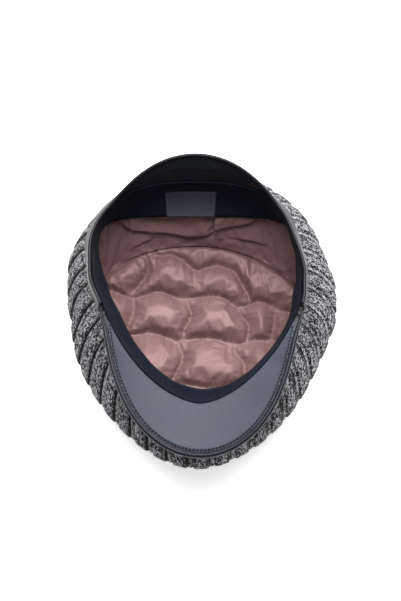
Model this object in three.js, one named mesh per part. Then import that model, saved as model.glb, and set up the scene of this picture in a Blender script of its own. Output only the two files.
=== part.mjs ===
// A winter cap: a ribbed knit crown, a leather peak with a rolled edge, a leather ear flap turned up round
// the sides and back, a cloth sweatband with a bare label, and a quilted satin lining in two pieces.
// It lies as it does on a table, upside down on its crown, with the opening up and the peak towards -Y.
// Millimetres, +Z up. The origin is on the table, below the middle of the outline.
import * as THREE from 'three';

// Head opening: reaches are from a centre in the opening, heights from the table
const OPENING_WIDTH = 179;
const OPENING_FRONT = 94.5;
const OPENING_BACK = 101;
const OPENING_MIDDLE = 20; // the opening is widest this far behind its centre
const OPENING_FRONT_CURVE = 1.64; // exponent of the outline: 2 is an ellipse, more is squarer
const OPENING_BACK_CURVE = 2.7;
const OPENING_HEIGHT = 95;

// Knit crown
const CROWN_OVERHANG_SIDE = 29.4; // how far the crown bulges past the opening
const CROWN_OVERHANG_FRONT = 43;
const CROWN_OVERHANG_BACK = 37;
const CROWN_MIDDLE = 18;
const CROWN_FRONT_CURVE = 1.79;
const CROWN_BACK_CURVE = 2;
const CROWN_BACK_SHIFT = 4.3; // how far its bulge sits to the right of the opening
const CROWN_FRONT_SHIFT = -1.5;
const CROWN_SHIFT_START = -0.5; // where the shift starts and how long it takes, in front reaches
const CROWN_SHIFT_LENGTH = 0.8;
const KNIT_WALL = 2.3;
const RIB_COUNT = 38;
const RIB_RISE = 0.8;
const RIB_SWEEP = 0.035; // share of the way round that each rib leans towards the front

// Sweatband and label
const SWEATBAND_HEIGHT = 38;
const SWEATBAND_WALL = 1.2;
const SWEATBAND_PROUD = 0.8; // how far its folded edge stands over the seam
const SWEATBAND_LEAN_SIDE = 2.5;
const SWEATBAND_LEAN_FRONT = 20;
const SWEATBAND_LEAN_BACK = 17.5;
const SWEATBAND_MIDDLE = 58;
const SWEATBAND_SHIFT = 3.5; // how far its deep edge sits to the right of the opening
const SWEATBAND_SHIFT_FADE = 14; // length over which the shift grows, from the back
const SWEATBAND_FRONT_CURVE = 1.88;
const SWEATBAND_BACK_CURVE = 3.6;
const SWEATBAND_CURL = 3; // exponent: the higher, the longer it stays upright before it leans
const LABEL_WIDTH = 46;
const LABEL_HEIGHT = 24;
const LABEL_WALL = 0.6;
const LABEL_OFFSET = 4; // to the left of the back seam

// Lining
const LINING_WALL = 3;
const LINING_OVERLAP = 6; // hidden behind the sweatband
const LINING_SEAM_HALF_WIDTH = 99;
const LINING_SEAM_FRONT = 98;
const LINING_SEAM_BACK = 67;
const LINING_SEAM_HEIGHT = 25;
const LINING_TOP_HEIGHT = 13;
const LINING_TOP_WALL = 5;
const QUILT_ROW = 42; // spacing of the quilted rows, front to back
const QUILT_CELL = 54; // width of one scallop in a row
const QUILT_RISE = 4;
const QUILT_FIRST_ROW = -58; // where a row's stitched line crosses the middle of the hat
const QUILT_SCALLOP = 0.12; // how far the rows' lines curve, as a share of their spacing
const QUILT_CURVE = 0.6; // exponent: the lower, the flatter each cell and the steeper its sides
const QUILT_CROSS_SHARE = 0.45; // the swell left on a cross stitch
const LINING_DISH_CURVE = 3; // exponent: the higher, the flatter the middle of the top lining
const LINING_CALM_START = 0.75; // share of the way out where the quilting starts to fade

// Leather peak
const PEAK_START = 14; // in front of the opening's centre
const PEAK_REACH = 141.5;
const PEAK_TIP_INSET = 3.5; // how much narrower than the opening it starts, on each side
const PEAK_HALF_WIDTH = OPENING_WIDTH / 2 - PEAK_TIP_INSET;
const PEAK_TAPER = 0.3;
const PEAK_OUTLINE_CURVE = 4;
const PEAK_THICKNESS = 3.2;
const PEAK_PITCH = 12; // degrees
const PEAK_BEND_RADIUS = 145;
const PEAK_ROLL_RADIUS = 2.3;
const PEAK_ROLL_TIP_RADIUS = 1.1;
const PEAK_ROLL_TAPER = 26; // length over which the roll thins to its tip

// Leather ear flap
const FLAP_WALL = 1.2;
const FLAP_EASE = 0.5; // how loosely its outer leaf lies over the knit
const FLAP_ROLL = 3.2;
const FLAP_SIDE_RISE = 4.5; // from the opening's edge to the rim
const FLAP_BACK_RISE = 19;
const FLAP_BACK_FLARE = 13.4;
const FLAP_CRESCENT = 0.135; // share of the way round that the rise takes to die out
const FLAP_RISE_CURVE = 1.4; // exponents: the higher, the sooner the rise and the flare die out
const FLAP_FLARE_CURVE = 1.5;
const FLAP_CORNER_LEAN = 3.2; // how far the rim leans in over the opening's back corners
const FLAP_CORNER = 0.15; // the corners' share of the way round, and how far the lean spreads
const FLAP_CORNER_SPREAD = 0.11;
const FLAP_HEIGHT = 14; // from the opening's edge to the free edge
const FLAP_BACK_DROP = 6; // how much lower the free edge hangs at the back
const FLAP_PEAK_GAP = 3;
const FLAP_RIM_SHOULDER = 0.25; // shares of the roll that shape its rounded rim
const FLAP_RIM_CAMBER = 0.1;
const FLAP_HOLLOW_DROP = 0.6; // how much lower the hollow inside starts where the rim leans in

const SEAM_GAP = 0.3;
const SWAY = 5; // how far the soft cap sways sideways at most, in the table below

// How the cap sways to the right along its length. along is a share of the reach in front or behind.
const SWAY_PROFILE = [
  { along: -1.0, shift: 0.3 },
  { along: -0.5, shift: 0.3 },
  { along: -0.08, shift: 0.5 },
  { along: 0.1, shift: -0.2 },
  { along: 0.4, shift: -1.0 },
  { along: 0.7, shift: -0.6 },
  { along: 1.0, shift: -0.45 },
];

// The crown's outline from the opening down to the table. drop is the share of the height, out goes
// from the opening's outline to the crown's, and scale is the share of the crown's outline.
const CROWN_PROFILE = [
  { drop: 0.0, out: 0.0, scale: 1.0 },
  { drop: 0.11, out: 0.01, scale: 1.0 },
  { drop: 0.2, out: 0.1, scale: 1.0 },
  { drop: 0.29, out: 0.32, scale: 1.0 },
  { drop: 0.39, out: 0.63, scale: 1.0 },
  { drop: 0.5, out: 0.88, scale: 1.0 },
  { drop: 0.61, out: 1.0, scale: 1.0 },
  { drop: 0.72, out: 1.0, scale: 0.985 },
  { drop: 0.82, out: 1.0, scale: 0.94 },
  { drop: 0.91, out: 1.0, scale: 0.87 },
  { drop: 0.975, out: 1.0, scale: 0.79 },
  { drop: 1.0, out: 1.0, scale: 0.7 },
];
const CROWN_SEAM_ROW = 8; // the row where the side panel is sewn to the top panel

// The side lining from the sweatband's deep edge to its seam with the top lining
const LINING_PROFILE = [
  { drop: 0.0, out: 0.0 },
  { drop: 0.14, out: 0.02 },
  { drop: 0.4, out: 0.3 },
  { drop: 0.7, out: 0.72 },
  { drop: 1.0, out: 1.0 },
];

const smooth = (x) => {
  const t = THREE.MathUtils.clamp(x, 0, 1);
  return t * t * (3 - 2 * t);
};

// A closed outline, mirrored left to right. at(share) walks it by its length: 0 is the middle of the
// back, 0.25 is on the +X side, 0.5 is the middle of the front.
const OUTLINE_STEPS = 720;
const NORMAL_STEP = 0.004;
const BISECTIONS = 40;

class Outline {
  constructor(halfPoints) {
    this.half = halfPoints;
    this.length = [0];
    for (let i = 1; i < halfPoints.length; i += 1) {
      this.length.push(this.length[i - 1] + halfPoints[i].distanceTo(halfPoints[i - 1]));
    }
    this.perimeter = 2 * this.length.at(-1);
  }

  at(share) {
    const turn = share - Math.floor(share);
    const side = turn > 0.5 ? -1 : 1;
    const walked = (side > 0 ? turn : 1 - turn) * this.perimeter;
    const low = Math.max(0, this.length.findLastIndex((length) => length < walked));
    const high = Math.min(low + 1, this.half.length - 1);
    const step = (walked - this.length[low]) / (this.length[high] - this.length[low]);
    const point = this.half[low].clone().lerp(this.half[high], THREE.MathUtils.clamp(step, 0, 1));
    return new THREE.Vector2(side * point.x, point.y);
  }

  normal(share) {
    const ahead = this.at(share + NORMAL_STEP).sub(this.at(share - NORMAL_STEP)).normalize();
    return new THREE.Vector2(-ahead.y, ahead.x);
  }

  offset(share, distance) {
    return this.at(share).addScaledVector(this.normal(share), distance);
  }

  shareAtY(y) {
    let [low, high] = [0, 0.5];
    for (let i = 0; i < BISECTIONS; i += 1) {
      const middle = (low + high) / 2;
      [low, high] = this.at(middle).y > y ? [middle, high] : [low, middle];
    }
    return (low + high) / 2;
  }
}

function oval({ halfWidth, middle, front, back, frontCurve, backCurve }) {
  const points = [];
  for (let i = 0; i <= OUTLINE_STEPS; i += 1) {
    const angle = (Math.PI * i) / OUTLINE_STEPS;
    const behind = angle < Math.PI / 2;
    const power = 2 / (behind ? backCurve : frontCurve);
    const reach = behind ? back - middle : -(front + middle);
    points.push(new THREE.Vector2(
      halfWidth * Math.sin(angle) ** power,
      middle + reach * Math.abs(Math.cos(angle)) ** power,
    ));
  }
  points[0].x = 0;
  points[OUTLINE_STEPS].x = 0;
  return new Outline(points);
}

const opening = oval({
  halfWidth: OPENING_WIDTH / 2,
  middle: OPENING_MIDDLE,
  front: OPENING_FRONT,
  back: OPENING_BACK,
  frontCurve: OPENING_FRONT_CURVE,
  backCurve: OPENING_BACK_CURVE,
});
const crownOutline = oval({
  halfWidth: OPENING_WIDTH / 2 + CROWN_OVERHANG_SIDE,
  middle: CROWN_MIDDLE,
  front: OPENING_FRONT + CROWN_OVERHANG_FRONT,
  back: OPENING_BACK + CROWN_OVERHANG_BACK,
  frontCurve: CROWN_FRONT_CURVE,
  backCurve: CROWN_BACK_CURVE,
});
const sweatbandDeepEdge = oval({
  halfWidth: OPENING_WIDTH / 2 - SWEATBAND_LEAN_SIDE,
  middle: SWEATBAND_MIDDLE,
  front: OPENING_FRONT - SWEATBAND_LEAN_FRONT,
  back: OPENING_BACK - SWEATBAND_LEAN_BACK,
  frontCurve: SWEATBAND_FRONT_CURVE,
  backCurve: SWEATBAND_BACK_CURVE,
});
const liningSeam = oval({
  halfWidth: LINING_SEAM_HALF_WIDTH,
  middle: 0,
  front: LINING_SEAM_FRONT,
  back: LINING_SEAM_BACK,
  frontCurve: 2,
  backCurve: 2,
});

// The peak's underside is a sheet pitched up towards the front and bent up at the sides. The front of
// the opening lies on it, and the rest of the opening lies level.
const peakShare = opening.shareAtY(-PEAK_START);
const peakCorner = opening.at(peakShare);

function peakFace(x, y) {
  const pitched = Math.tan(THREE.MathUtils.degToRad(PEAK_PITCH)) * (peakCorner.y - y);
  return OPENING_HEIGHT + pitched + (x * x - peakCorner.x ** 2) / (2 * PEAK_BEND_RADIUS);
}

function edgeHeight(share) {
  const point = opening.at(share);
  return point.y < peakCorner.y ? peakFace(point.x, point.y) : OPENING_HEIGHT;
}

// Rows of a profile table, joined by one smooth curve. t runs from 0 to 1 over the whole table.
function profileCurve(rows) {
  const curve = new THREE.CatmullRomCurve3(
    rows.map(({ drop, out, scale = 1 }) => new THREE.Vector3(drop, out, scale)),
    false,
    'centripetal',
  );
  return (t) => {
    const { x, y, z } = curve.getPoint(THREE.MathUtils.clamp(t, 0, 1));
    return { drop: x, out: y, scale: z };
  };
}

const crownProfile = profileCurve(CROWN_PROFILE);
const crownSeamT = CROWN_SEAM_ROW / (CROWN_PROFILE.length - 1);
const crownCentre = new THREE.Vector2(0, CROWN_MIDDLE);

// The crown's outer face without its ribs
function crownFace(share, t) {
  const { drop, out, scale } = crownProfile(t);
  const sweep = RIB_SWEEP * out * Math.sin(2 * Math.PI * share);
  const band = opening.offset(share, SEAM_GAP + KNIT_WALL);
  const bulge = crownOutline.at(share + sweep).sub(crownCentre).multiplyScalar(scale).add(crownCentre);
  const backward = smooth((bulge.y / OPENING_FRONT - CROWN_SHIFT_START) / CROWN_SHIFT_LENGTH);
  bulge.x += THREE.MathUtils.lerp(CROWN_FRONT_SHIFT, CROWN_BACK_SHIFT, backward);
  const plan = band.lerp(bulge, out);
  const top = edgeHeight(share) - PEAK_THICKNESS - SEAM_GAP;
  return new THREE.Vector3(plan.x, plan.y, Math.max(0, top * (1 - drop)));
}

// The ribs are pulled flat at the opening and stand up lower down
const RIB_START_T = 0.06;
const RIB_FULL_T = 0.22;
const ribFade = (t) => smooth((t - RIB_START_T) / (RIB_FULL_T - RIB_START_T));

const TANGENT_STEP = 0.01;

// The direction square to a face(share, t), away from the inside of the hat
function faceNormal(face, share, t) {
  const low = Math.max(0, t - TANGENT_STEP);
  const high = Math.min(1, t + TANGENT_STEP);
  const round = face(share + NORMAL_STEP, t).sub(face(share - NORMAL_STEP, t));
  const down = face(share, high).sub(face(share, low));
  return round.cross(down).normalize();
}

function crownLifted(share, t, lift) {
  return crownFace(share, t).addScaledVector(faceNormal(crownFace, share, t), lift);
}

// The sweatband's outer face: v is 0 at the opening's edge and 1 at its deep edge. It starts upright
// and curves in or out lower down.
function sweatbandFace(share, v, offset = 0) {
  const edge = opening.offset(share, offset);
  const deep = deepEdge(share, SWEATBAND_WALL + offset);
  const plan = edge.lerp(deep, v ** SWEATBAND_CURL);
  const edgeZ = edgeHeight(share) + SWEATBAND_PROUD;
  return new THREE.Vector3(plan.x, plan.y, THREE.MathUtils.lerp(edgeZ, deepEdgeHeight(), v));
}

// The sweatband's deep edge, shifted everywhere but at the back
function deepEdge(share, offset) {
  const point = sweatbandDeepEdge.offset(share, offset);
  const fromBack = OPENING_BACK - SWEATBAND_LEAN_BACK - point.y;
  point.x += SWEATBAND_SHIFT * smooth(fromBack / SWEATBAND_SHIFT_FADE);
  return point;
}

function deepEdgeHeight() {
  return OPENING_HEIGHT - SWEATBAND_HEIGHT;
}

// Solids from loops and sections
function solid(points, triangles) {
  const geometry = new THREE.BufferGeometry();
  const swayed = points.flatMap((p) => [p.x + sway(p.y), p.y, p.z]);
  geometry.setAttribute('position', new THREE.Float32BufferAttribute(swayed, 3));
  geometry.setIndex(signedVolume(points, triangles) < 0 ? triangles.toReversed() : triangles);
  return geometry;
}

function sway(y) {
  const reach = y < 0 ? OPENING_FRONT + CROWN_OVERHANG_FRONT : OPENING_BACK + CROWN_OVERHANG_BACK;
  const along = THREE.MathUtils.clamp(y / reach, -1, 1);
  const row = Math.max(1, SWAY_PROFILE.findIndex((each) => each.along >= along));
  const [before, after] = [SWAY_PROFILE[row - 1], SWAY_PROFILE[row]];
  const between = smooth((along - before.along) / (after.along - before.along));
  return SWAY * THREE.MathUtils.lerp(before.shift, after.shift, between);
}

function signedVolume(points, triangles) {
  let volume = 0;
  for (let i = 0; i < triangles.length; i += 3) {
    const [a, b, c] = [0, 1, 2].map((k) => points[triangles[i + k]]);
    volume += a.dot(b.clone().cross(c)) / 6;
  }
  return volume;
}

// Two triangles for each cell between rows of points. Each row is a closed loop, and the last row
// joins the first where closed is true.
function skin(rows, columns, closed = false) {
  const triangles = [];
  for (let row = 0; row < (closed ? rows : rows - 1); row += 1) {
    const next = (row + 1) % rows;
    for (let column = 0; column < columns; column += 1) {
      const right = (column + 1) % columns;
      const a = row * columns + column;
      const b = row * columns + right;
      const c = next * columns + right;
      const d = next * columns + column;
      triangles.push(a, b, c, a, c, d);
    }
  }
  return triangles;
}

// A wall that runs all the way round: closed loops that return to the first one
function ringSolid(loops) {
  return solid(loops.flat(), skin(loops.length, loops[0].length, true));
}

// A plate: closed loops from the middle of one face, over the rim, to the middle of the other
function plateSolid(start, loops, end) {
  const columns = loops[0].length;
  const triangles = skin(loops.length, columns);
  const last = (loops.length - 1) * columns;
  const [startIndex, endIndex] = [loops.length * columns, loops.length * columns + 1];
  for (let column = 0; column < columns; column += 1) {
    const right = (column + 1) % columns;
    triangles.push(startIndex, right, column, endIndex, last + column, last + right);
  }
  return solid([...loops.flat(), start, end], triangles);
}

// A strip: closed sections along an open path, capped at both ends. Each section is a front face of
// frontCount points and a back face of the rest, which returns the other way.
function stripSolid(sections, frontCount) {
  const columns = sections[0].length;
  const triangles = skin(sections.length, columns);
  const last = (sections.length - 1) * columns;
  for (const [a, b, c] of capTriangles(frontCount, columns)) {
    triangles.push(a, c, b, last + a, last + b, last + c);
  }
  return solid(sections.flat(), triangles);
}

// Triangles between a section's front and back faces, taking the next point from whichever lags
function capTriangles(frontCount, columns) {
  const backCount = columns - frontCount;
  const caps = [];
  let [front, back] = [0, 0];
  while (front < frontCount - 1 || back < backCount - 1) {
    const frontNext = front < frontCount - 1 ? (front + 1) / (frontCount - 1) : Infinity;
    const backNext = back < backCount - 1 ? (back + 1) / (backCount - 1) : Infinity;
    const backPoint = columns - 1 - back;
    if (frontNext <= backNext) {
      caps.push([front, front + 1, backPoint]);
      front += 1;
    } else {
      caps.push([front, backPoint - 1, backPoint]);
      back += 1;
    }
  }
  return caps;
}

const steps = (count, low = 0, high = 1) => (
  Array.from({ length: count + 1 }, (_, i) => THREE.MathUtils.lerp(low, high, i / count))
);
const around = (count) => Array.from({ length: count }, (_, i) => i / count);

// Where each rib is sampled, as shares of its pitch from the rib's middle, and its rise there
const RIB_SAMPLES = [
  { at: -0.36, rise: 0 },
  { at: -0.26, rise: 1 },
  { at: 0.26, rise: 1 },
  { at: 0.36, rise: 0 },
];
const CROWN_SIDE_ROWS = 9;
const CROWN_SIDE_INNER_ROWS = 3;

function crownSide() {
  const columns = [];
  for (let rib = 0; rib < RIB_COUNT; rib += 1) {
    for (const { at, rise } of RIB_SAMPLES) {
      columns.push({ share: (rib + at) / RIB_COUNT, rise: rise * RIB_RISE });
    }
  }
  const loops = [];
  for (const t of steps(CROWN_SIDE_INNER_ROWS, crownSeamT, 0)) {
    loops.push(columns.map(({ share }) => crownLifted(share, t, -KNIT_WALL)));
  }
  for (const t of steps(CROWN_SIDE_ROWS, 0, crownSeamT)) {
    loops.push(columns.map(({ share, rise }) => crownLifted(share, t, rise * ribFade(t))));
  }
  return ringSolid(loops);
}

const CROWN_TOP_COLUMNS = 64;
const CROWN_TOP_ROWS = 4;
const CROWN_TOP_INNER_ROWS = 2;

function crownTop() {
  const shares = around(CROWN_TOP_COLUMNS);
  const seamPoint = crownFace(0.25, crownSeamT);
  const stepLength = seamPoint.distanceTo(crownFace(0.25, crownSeamT + TANGENT_STEP));
  const start = crownSeamT + (TANGENT_STEP * SEAM_GAP) / stepLength;
  const loops = [];
  for (const t of steps(CROWN_TOP_ROWS, 1, start)) {
    loops.push(shares.map((share) => crownFace(share, t)));
  }
  for (const t of steps(CROWN_TOP_INNER_ROWS, start, 1)) {
    loops.push(shares.map((share) => crownLifted(share, t, -KNIT_WALL)));
  }
  const under = new THREE.Vector3(crownCentre.x, crownCentre.y, 0);
  return plateSolid(under, loops, under.clone().setZ(KNIT_WALL));
}

const LINED_COLUMNS = 64; // round the sweatband and the lining, which lie against each other

// The heights, as shares from the opening's edge to the deep edge, where the label and the lining start
const labelTop = 1 - LABEL_HEIGHT / sweatbandFace(0, 0).distanceTo(sweatbandFace(0, 1));
const liningStart = 1 - LINING_OVERLAP / SWEATBAND_HEIGHT;

function sweatband() {
  const shares = around(LINED_COLUMNS);
  const rows = [0, labelTop, liningStart, 1];
  const loops = [];
  for (const v of rows) {
    loops.push(shares.map((share) => sweatbandFace(share, v)));
  }
  for (const v of rows.toReversed()) {
    loops.push(shares.map((share) => sweatbandFace(share, v, -SWEATBAND_WALL)));
  }
  return ringSolid(loops);
}

const LABEL_COLUMNS = 8;

function label() {
  const middle = -LABEL_OFFSET / opening.perimeter;
  const half = LABEL_WIDTH / 2 / opening.perimeter;
  const back = -SWEATBAND_WALL - SEAM_GAP;
  const rows = [labelTop, liningStart, 1];
  const sections = steps(LABEL_COLUMNS, middle - half, middle + half).map((share) => [
    ...rows.map((v) => sweatbandFace(share, v, back)),
    ...rows.toReversed().map((v) => sweatbandFace(share, v, back - LABEL_WALL)),
  ]);
  return stripSolid(sections, rows.length);
}

// The side lining's inner face. t below 0 is its top edge, behind the sweatband.
const liningProfile = profileCurve(LINING_PROFILE);

function liningSideFace(share, t, offset = 0) {
  if (t < 0) {
    return sweatbandFace(share, liningStart, SEAM_GAP + offset);
  }
  const { drop, out } = liningProfile(t);
  const deep = deepEdge(share, SWEATBAND_WALL + SEAM_GAP + offset);
  const plan = deep.lerp(liningSeam.offset(share, offset), out);
  return new THREE.Vector3(
    plan.x,
    plan.y,
    THREE.MathUtils.lerp(deepEdgeHeight() - SEAM_GAP, LINING_SEAM_HEIGHT, drop),
  );
}

const LINING_SIDE_ROWS = 4;

function liningSide() {
  const shares = around(LINED_COLUMNS);
  const loops = [];
  const rows = [-1, ...steps(LINING_SIDE_ROWS)];
  for (const t of rows) {
    loops.push(shares.map((share) => liningSideFace(share, t)));
  }
  for (const t of rows.toReversed()) {
    loops.push(shares.map((share) => liningSideFace(share, t, LINING_WALL)));
  }
  return ringSolid(loops);
}

// How far the quilting swells between its stitched lines, from 0 on a line to 1 in mid cell
function quiltSwell(x, y) {
  const scallop = QUILT_SCALLOP * Math.abs(Math.sin((Math.PI * x) / QUILT_CELL));
  const row = (y - QUILT_FIRST_ROW) / QUILT_ROW - scallop;
  const shift = Math.floor(row) % 2 === 0 ? 0 : 0.5;
  const acrossRow = Math.abs(Math.sin(Math.PI * row));
  const alongRow = Math.abs(Math.sin(Math.PI * (x / QUILT_CELL + shift)));
  return acrossRow ** QUILT_CURVE * THREE.MathUtils.lerp(QUILT_CROSS_SHARE, 1, alongRow ** QUILT_CURVE);
}

// The height of the dished top lining over its middle. reach is 0 in the middle and 1 at the seam.
const liningDish = (reach) => (
  (LINING_SEAM_HEIGHT - SEAM_GAP - LINING_TOP_HEIGHT) * reach ** LINING_DISH_CURVE
);

function liningTopHeight(x, y, reach) {
  const calm = 1 - smooth((reach - LINING_CALM_START) / (1 - LINING_CALM_START));
  return LINING_TOP_HEIGHT + liningDish(reach) + QUILT_RISE * quiltSwell(x, y) * calm;
}

const LINING_TOP_RINGS = 7;
const LINING_UNDER_RINGS = [1, 0.8, 0.5];

function liningTop() {
  const shares = around(LINED_COLUMNS);
  const spot = (share, reach) => liningSeam.offset(share, LINING_WALL).multiplyScalar(reach);
  const face = (share, reach) => {
    const { x, y } = spot(share, reach);
    return new THREE.Vector3(x, y, liningTopHeight(x, y, reach));
  };
  const underside = (share, reach) => {
    const { x, y } = spot(share, reach);
    return new THREE.Vector3(x, y, LINING_TOP_HEIGHT + liningDish(reach) - LINING_TOP_WALL);
  };
  const loops = [];
  for (const reach of steps(LINING_TOP_RINGS - 1, 1 / LINING_TOP_RINGS, 1)) {
    loops.push(shares.map((share) => face(share, reach)));
  }
  for (const reach of LINING_UNDER_RINGS) {
    loops.push(shares.map((share) => underside(share, reach)));
  }
  const middle = new THREE.Vector3(0, 0, liningTopHeight(0, 0, 0));
  return plateSolid(middle, loops, middle.clone().setZ(LINING_TOP_HEIGHT - LINING_TOP_WALL));
}

// The peak's outer edge, as half an outline from the tip beside the opening to the middle of the front
const PEAK_EDGE_STEPS = 200;
const peakEdge = new Outline(Array.from({ length: PEAK_EDGE_STEPS + 1 }, (_, i) => {
  const forward = Math.sin((Math.PI / 2) * (i / PEAK_EDGE_STEPS));
  const narrowing = (1 - PEAK_TAPER * forward) * Math.sqrt(1 - forward ** PEAK_OUTLINE_CURVE);
  const y = -PEAK_START - (PEAK_REACH - PEAK_START) * forward;
  return new THREE.Vector2(PEAK_HALF_WIDTH * narrowing, y);
}));

// along is -1 at the left tip, 0 in the middle of the front and 1 at the right tip
const peakEdgePoint = (along, inset) => peakEdge.offset(0.5 - along / 2, -inset);

// The board ends where it has thinned to its end width between the opening and the rolled edge
const PEAK_BOARD_END_WIDTH = 1.5;
const PEAK_INSET = 2 * PEAK_ROLL_RADIUS + SEAM_GAP;

function peakRoot(share) {
  return opening.offset(share, SEAM_GAP);
}

function peakBoardEnd() {
  let [low, high] = [0, ROLL_END];
  for (let i = 0; i < BISECTIONS; i += 1) {
    const along = (low + high) / 2;
    const edge = peakEdgePoint(along, PEAK_INSET);
    const width = edge.x - peakRoot(opening.shareAtY(edge.y)).x;
    [low, high] = width > PEAK_BOARD_END_WIDTH ? [along, high] : [low, along];
  }
  return low;
}

const PEAK_COLUMNS = 32;
const PEAK_ROWS = 4;

function peakBoard() {
  const end = peakBoardEnd();
  const endShare = opening.shareAtY(peakEdgePoint(end, PEAK_INSET).y);
  const sections = steps(PEAK_COLUMNS, -1, 1).map((across) => {
    const edge = peakEdgePoint(end * across, PEAK_INSET);
    const root = peakRoot(0.5 - across * (0.5 - endShare));
    const upper = steps(PEAK_ROWS).map((v) => root.clone().lerp(edge, v));
    const onFace = (depth) => ({ x, y }) => new THREE.Vector3(x, y, peakFace(x, y) - depth);
    return [...upper.map(onFace(0)), ...upper.toReversed().map(onFace(PEAK_THICKNESS))];
  });
  return stripSolid(sections, PEAK_ROWS + 1);
}

const ROLL_SIDES = 6;
const ROLL_COLUMNS = 40;
const ROLL_END = 0.98; // how far round the edge the roll runs, where 1 is the peak's corner

function peakRoll() {
  const circle = around(ROLL_SIDES).map((turn) => {
    const angle = 2 * Math.PI * turn;
    return new THREE.Vector2(Math.cos(angle), Math.sin(angle));
  });
  const sections = steps(ROLL_COLUMNS, -ROLL_END, ROLL_END).map((along) => {
    const fromTip = ((ROLL_END - Math.abs(along)) * peakEdge.perimeter) / 2;
    const radius = THREE.MathUtils.lerp(
      PEAK_ROLL_TIP_RADIUS,
      PEAK_ROLL_RADIUS,
      smooth(fromTip / PEAK_ROLL_TAPER),
    );
    return circle.map((corner) => {
      const plan = peakEdgePoint(along, radius * (1 - corner.x));
      const centre = peakEdgePoint(along, radius);
      const height = peakFace(centre.x, centre.y) - PEAK_THICKNESS / 2 + radius * corner.y;
      return new THREE.Vector3(plan.x, plan.y, height);
    });
  });
  return stripSolid(sections, ROLL_SIDES / 2);
}

// The flap's section, from the seam over the rolled rim and down the outside to its free edge.
// It is worked out in (distance from the opening's outline, height) and follows the crown lower down.
const FLAP_COLUMNS = 48;
const FLAP_FRONT_POINTS = 9; // of a section, from the seam over the rim to the free edge

function flapCrescent(share) {
  const reach = Math.min(1, Math.abs(share) / FLAP_CRESCENT);
  return Math.cos((Math.PI / 2) * reach) ** FLAP_RISE_CURVE;
}

function flapLean(share) {
  const reach = Math.min(1, Math.abs(Math.abs(share) - FLAP_CORNER) / FLAP_CORNER_SPREAD);
  return FLAP_CORNER_LEAN * Math.cos((Math.PI / 2) * reach) ** 2;
}

// Where the outer leaf ends on the crown's profile
function flapFreeT(crescent) {
  const crownTopEdge = OPENING_HEIGHT - PEAK_THICKNESS - SEAM_GAP;
  const freeHeight = OPENING_HEIGHT - FLAP_HEIGHT - FLAP_BACK_DROP * crescent;
  let [low, high] = [0, crownSeamT];
  for (let i = 0; i < BISECTIONS; i += 1) {
    const middle = (low + high) / 2;
    const height = crownTopEdge * (1 - crownProfile(middle).drop);
    [low, high] = height > freeHeight ? [middle, high] : [low, middle];
  }
  return low;
}

function flapSection(share) {
  const crescent = flapCrescent(share);
  const freeT = flapFreeT(crescent);
  const rimHeight = OPENING_HEIGHT + FLAP_SIDE_RISE + FLAP_BACK_RISE * crescent;
  const rimOut = FLAP_ROLL + FLAP_BACK_FLARE * crescent ** FLAP_FLARE_CURVE - flapLean(share);
  const rootHeight = OPENING_HEIGHT - PEAK_THICKNESS;
  const overSweatband = OPENING_HEIGHT + SWEATBAND_PROUD + SEAM_GAP;
  const place = (out, z) => {
    const plan = opening.offset(share, out);
    return new THREE.Vector3(plan.x, plan.y, z);
  };
  const [shoulder, camber] = [FLAP_RIM_SHOULDER * FLAP_ROLL, FLAP_RIM_CAMBER * FLAP_ROLL];
  const onCrown = (t, extra) => crownLifted(share, t, RIB_RISE * ribFade(t) + FLAP_EASE + extra);
  const outerRoot = place(SEAM_GAP + FLAP_WALL, rootHeight);
  const hollowOut = Math.max(rimOut - FLAP_ROLL / 2, SEAM_GAP + FLAP_WALL);
  const leanedIn = hollowOut - (rimOut - FLAP_ROLL / 2);
  const hollowTop = place(hollowOut, rimHeight - FLAP_ROLL - FLAP_HOLLOW_DROP * leanedIn);
  return [
    place(SEAM_GAP, rootHeight),
    place(SEAM_GAP, overSweatband),
    place(rimOut - FLAP_ROLL, rimHeight - FLAP_ROLL / 2),
    place(rimOut - FLAP_ROLL + shoulder, rimHeight - camber),
    place(rimOut - shoulder, rimHeight - camber),
    place(rimOut, rimHeight - FLAP_ROLL / 2),
    onCrown(0, FLAP_WALL),
    onCrown(freeT / 2, FLAP_WALL),
    onCrown(freeT, FLAP_WALL),
    onCrown(freeT, 0),
    onCrown(freeT / 2, 0),
    onCrown(0, 0),
    hollowTop,
    outerRoot.clone().lerp(hollowTop, 0.5),
    outerRoot,
  ];
}

function earFlap() {
  const end = opening.shareAtY(-PEAK_START + FLAP_PEAK_GAP);
  const sections = steps(FLAP_COLUMNS, -end, end).map(flapSection);
  return stripSolid(sections, FLAP_FRONT_POINTS);
}

// Materials and the finished cap
const leather = new THREE.MeshStandardMaterial({ color: 0x23262e, roughness: 0.42, metalness: 0 });
const knit = new THREE.MeshStandardMaterial({ color: 0x6c6c70, roughness: 0.95, metalness: 0 });
const bandCloth = new THREE.MeshStandardMaterial({ color: 0x161b28, roughness: 0.9, metalness: 0 });
const labelCloth = new THREE.MeshStandardMaterial({ color: 0x383a43, roughness: 0.7, metalness: 0 });
const satin = new THREE.MeshStandardMaterial({ color: 0x957577, roughness: 0.4, metalness: 0 });

function piece(name, geometry, material) {
  const mesh = new THREE.Mesh(geometry, material);
  mesh.name = name;
  return mesh;
}

const cap = new THREE.Group();
cap.add(
  piece('crown_side', crownSide(), knit),
  piece('crown_top', crownTop(), knit),
  piece('sweatband', sweatband(), bandCloth),
  piece('label', label(), labelCloth),
  piece('lining_side', liningSide(), satin),
  piece('lining_top', liningTop(), satin),
  piece('peak', peakBoard(), leather),
  piece('peak_edge', peakRoll(), leather),
  piece('ear_flap', earFlap(), leather),
);

// The origin goes below the middle of the outline
const outlineBox = new THREE.Box3().setFromObject(cap);
const middle = outlineBox.getCenter(new THREE.Vector3());
cap.position.set(-middle.x, -middle.y, -outlineBox.min.z);
cap.updateMatrixWorld(true);

export default cap;
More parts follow.
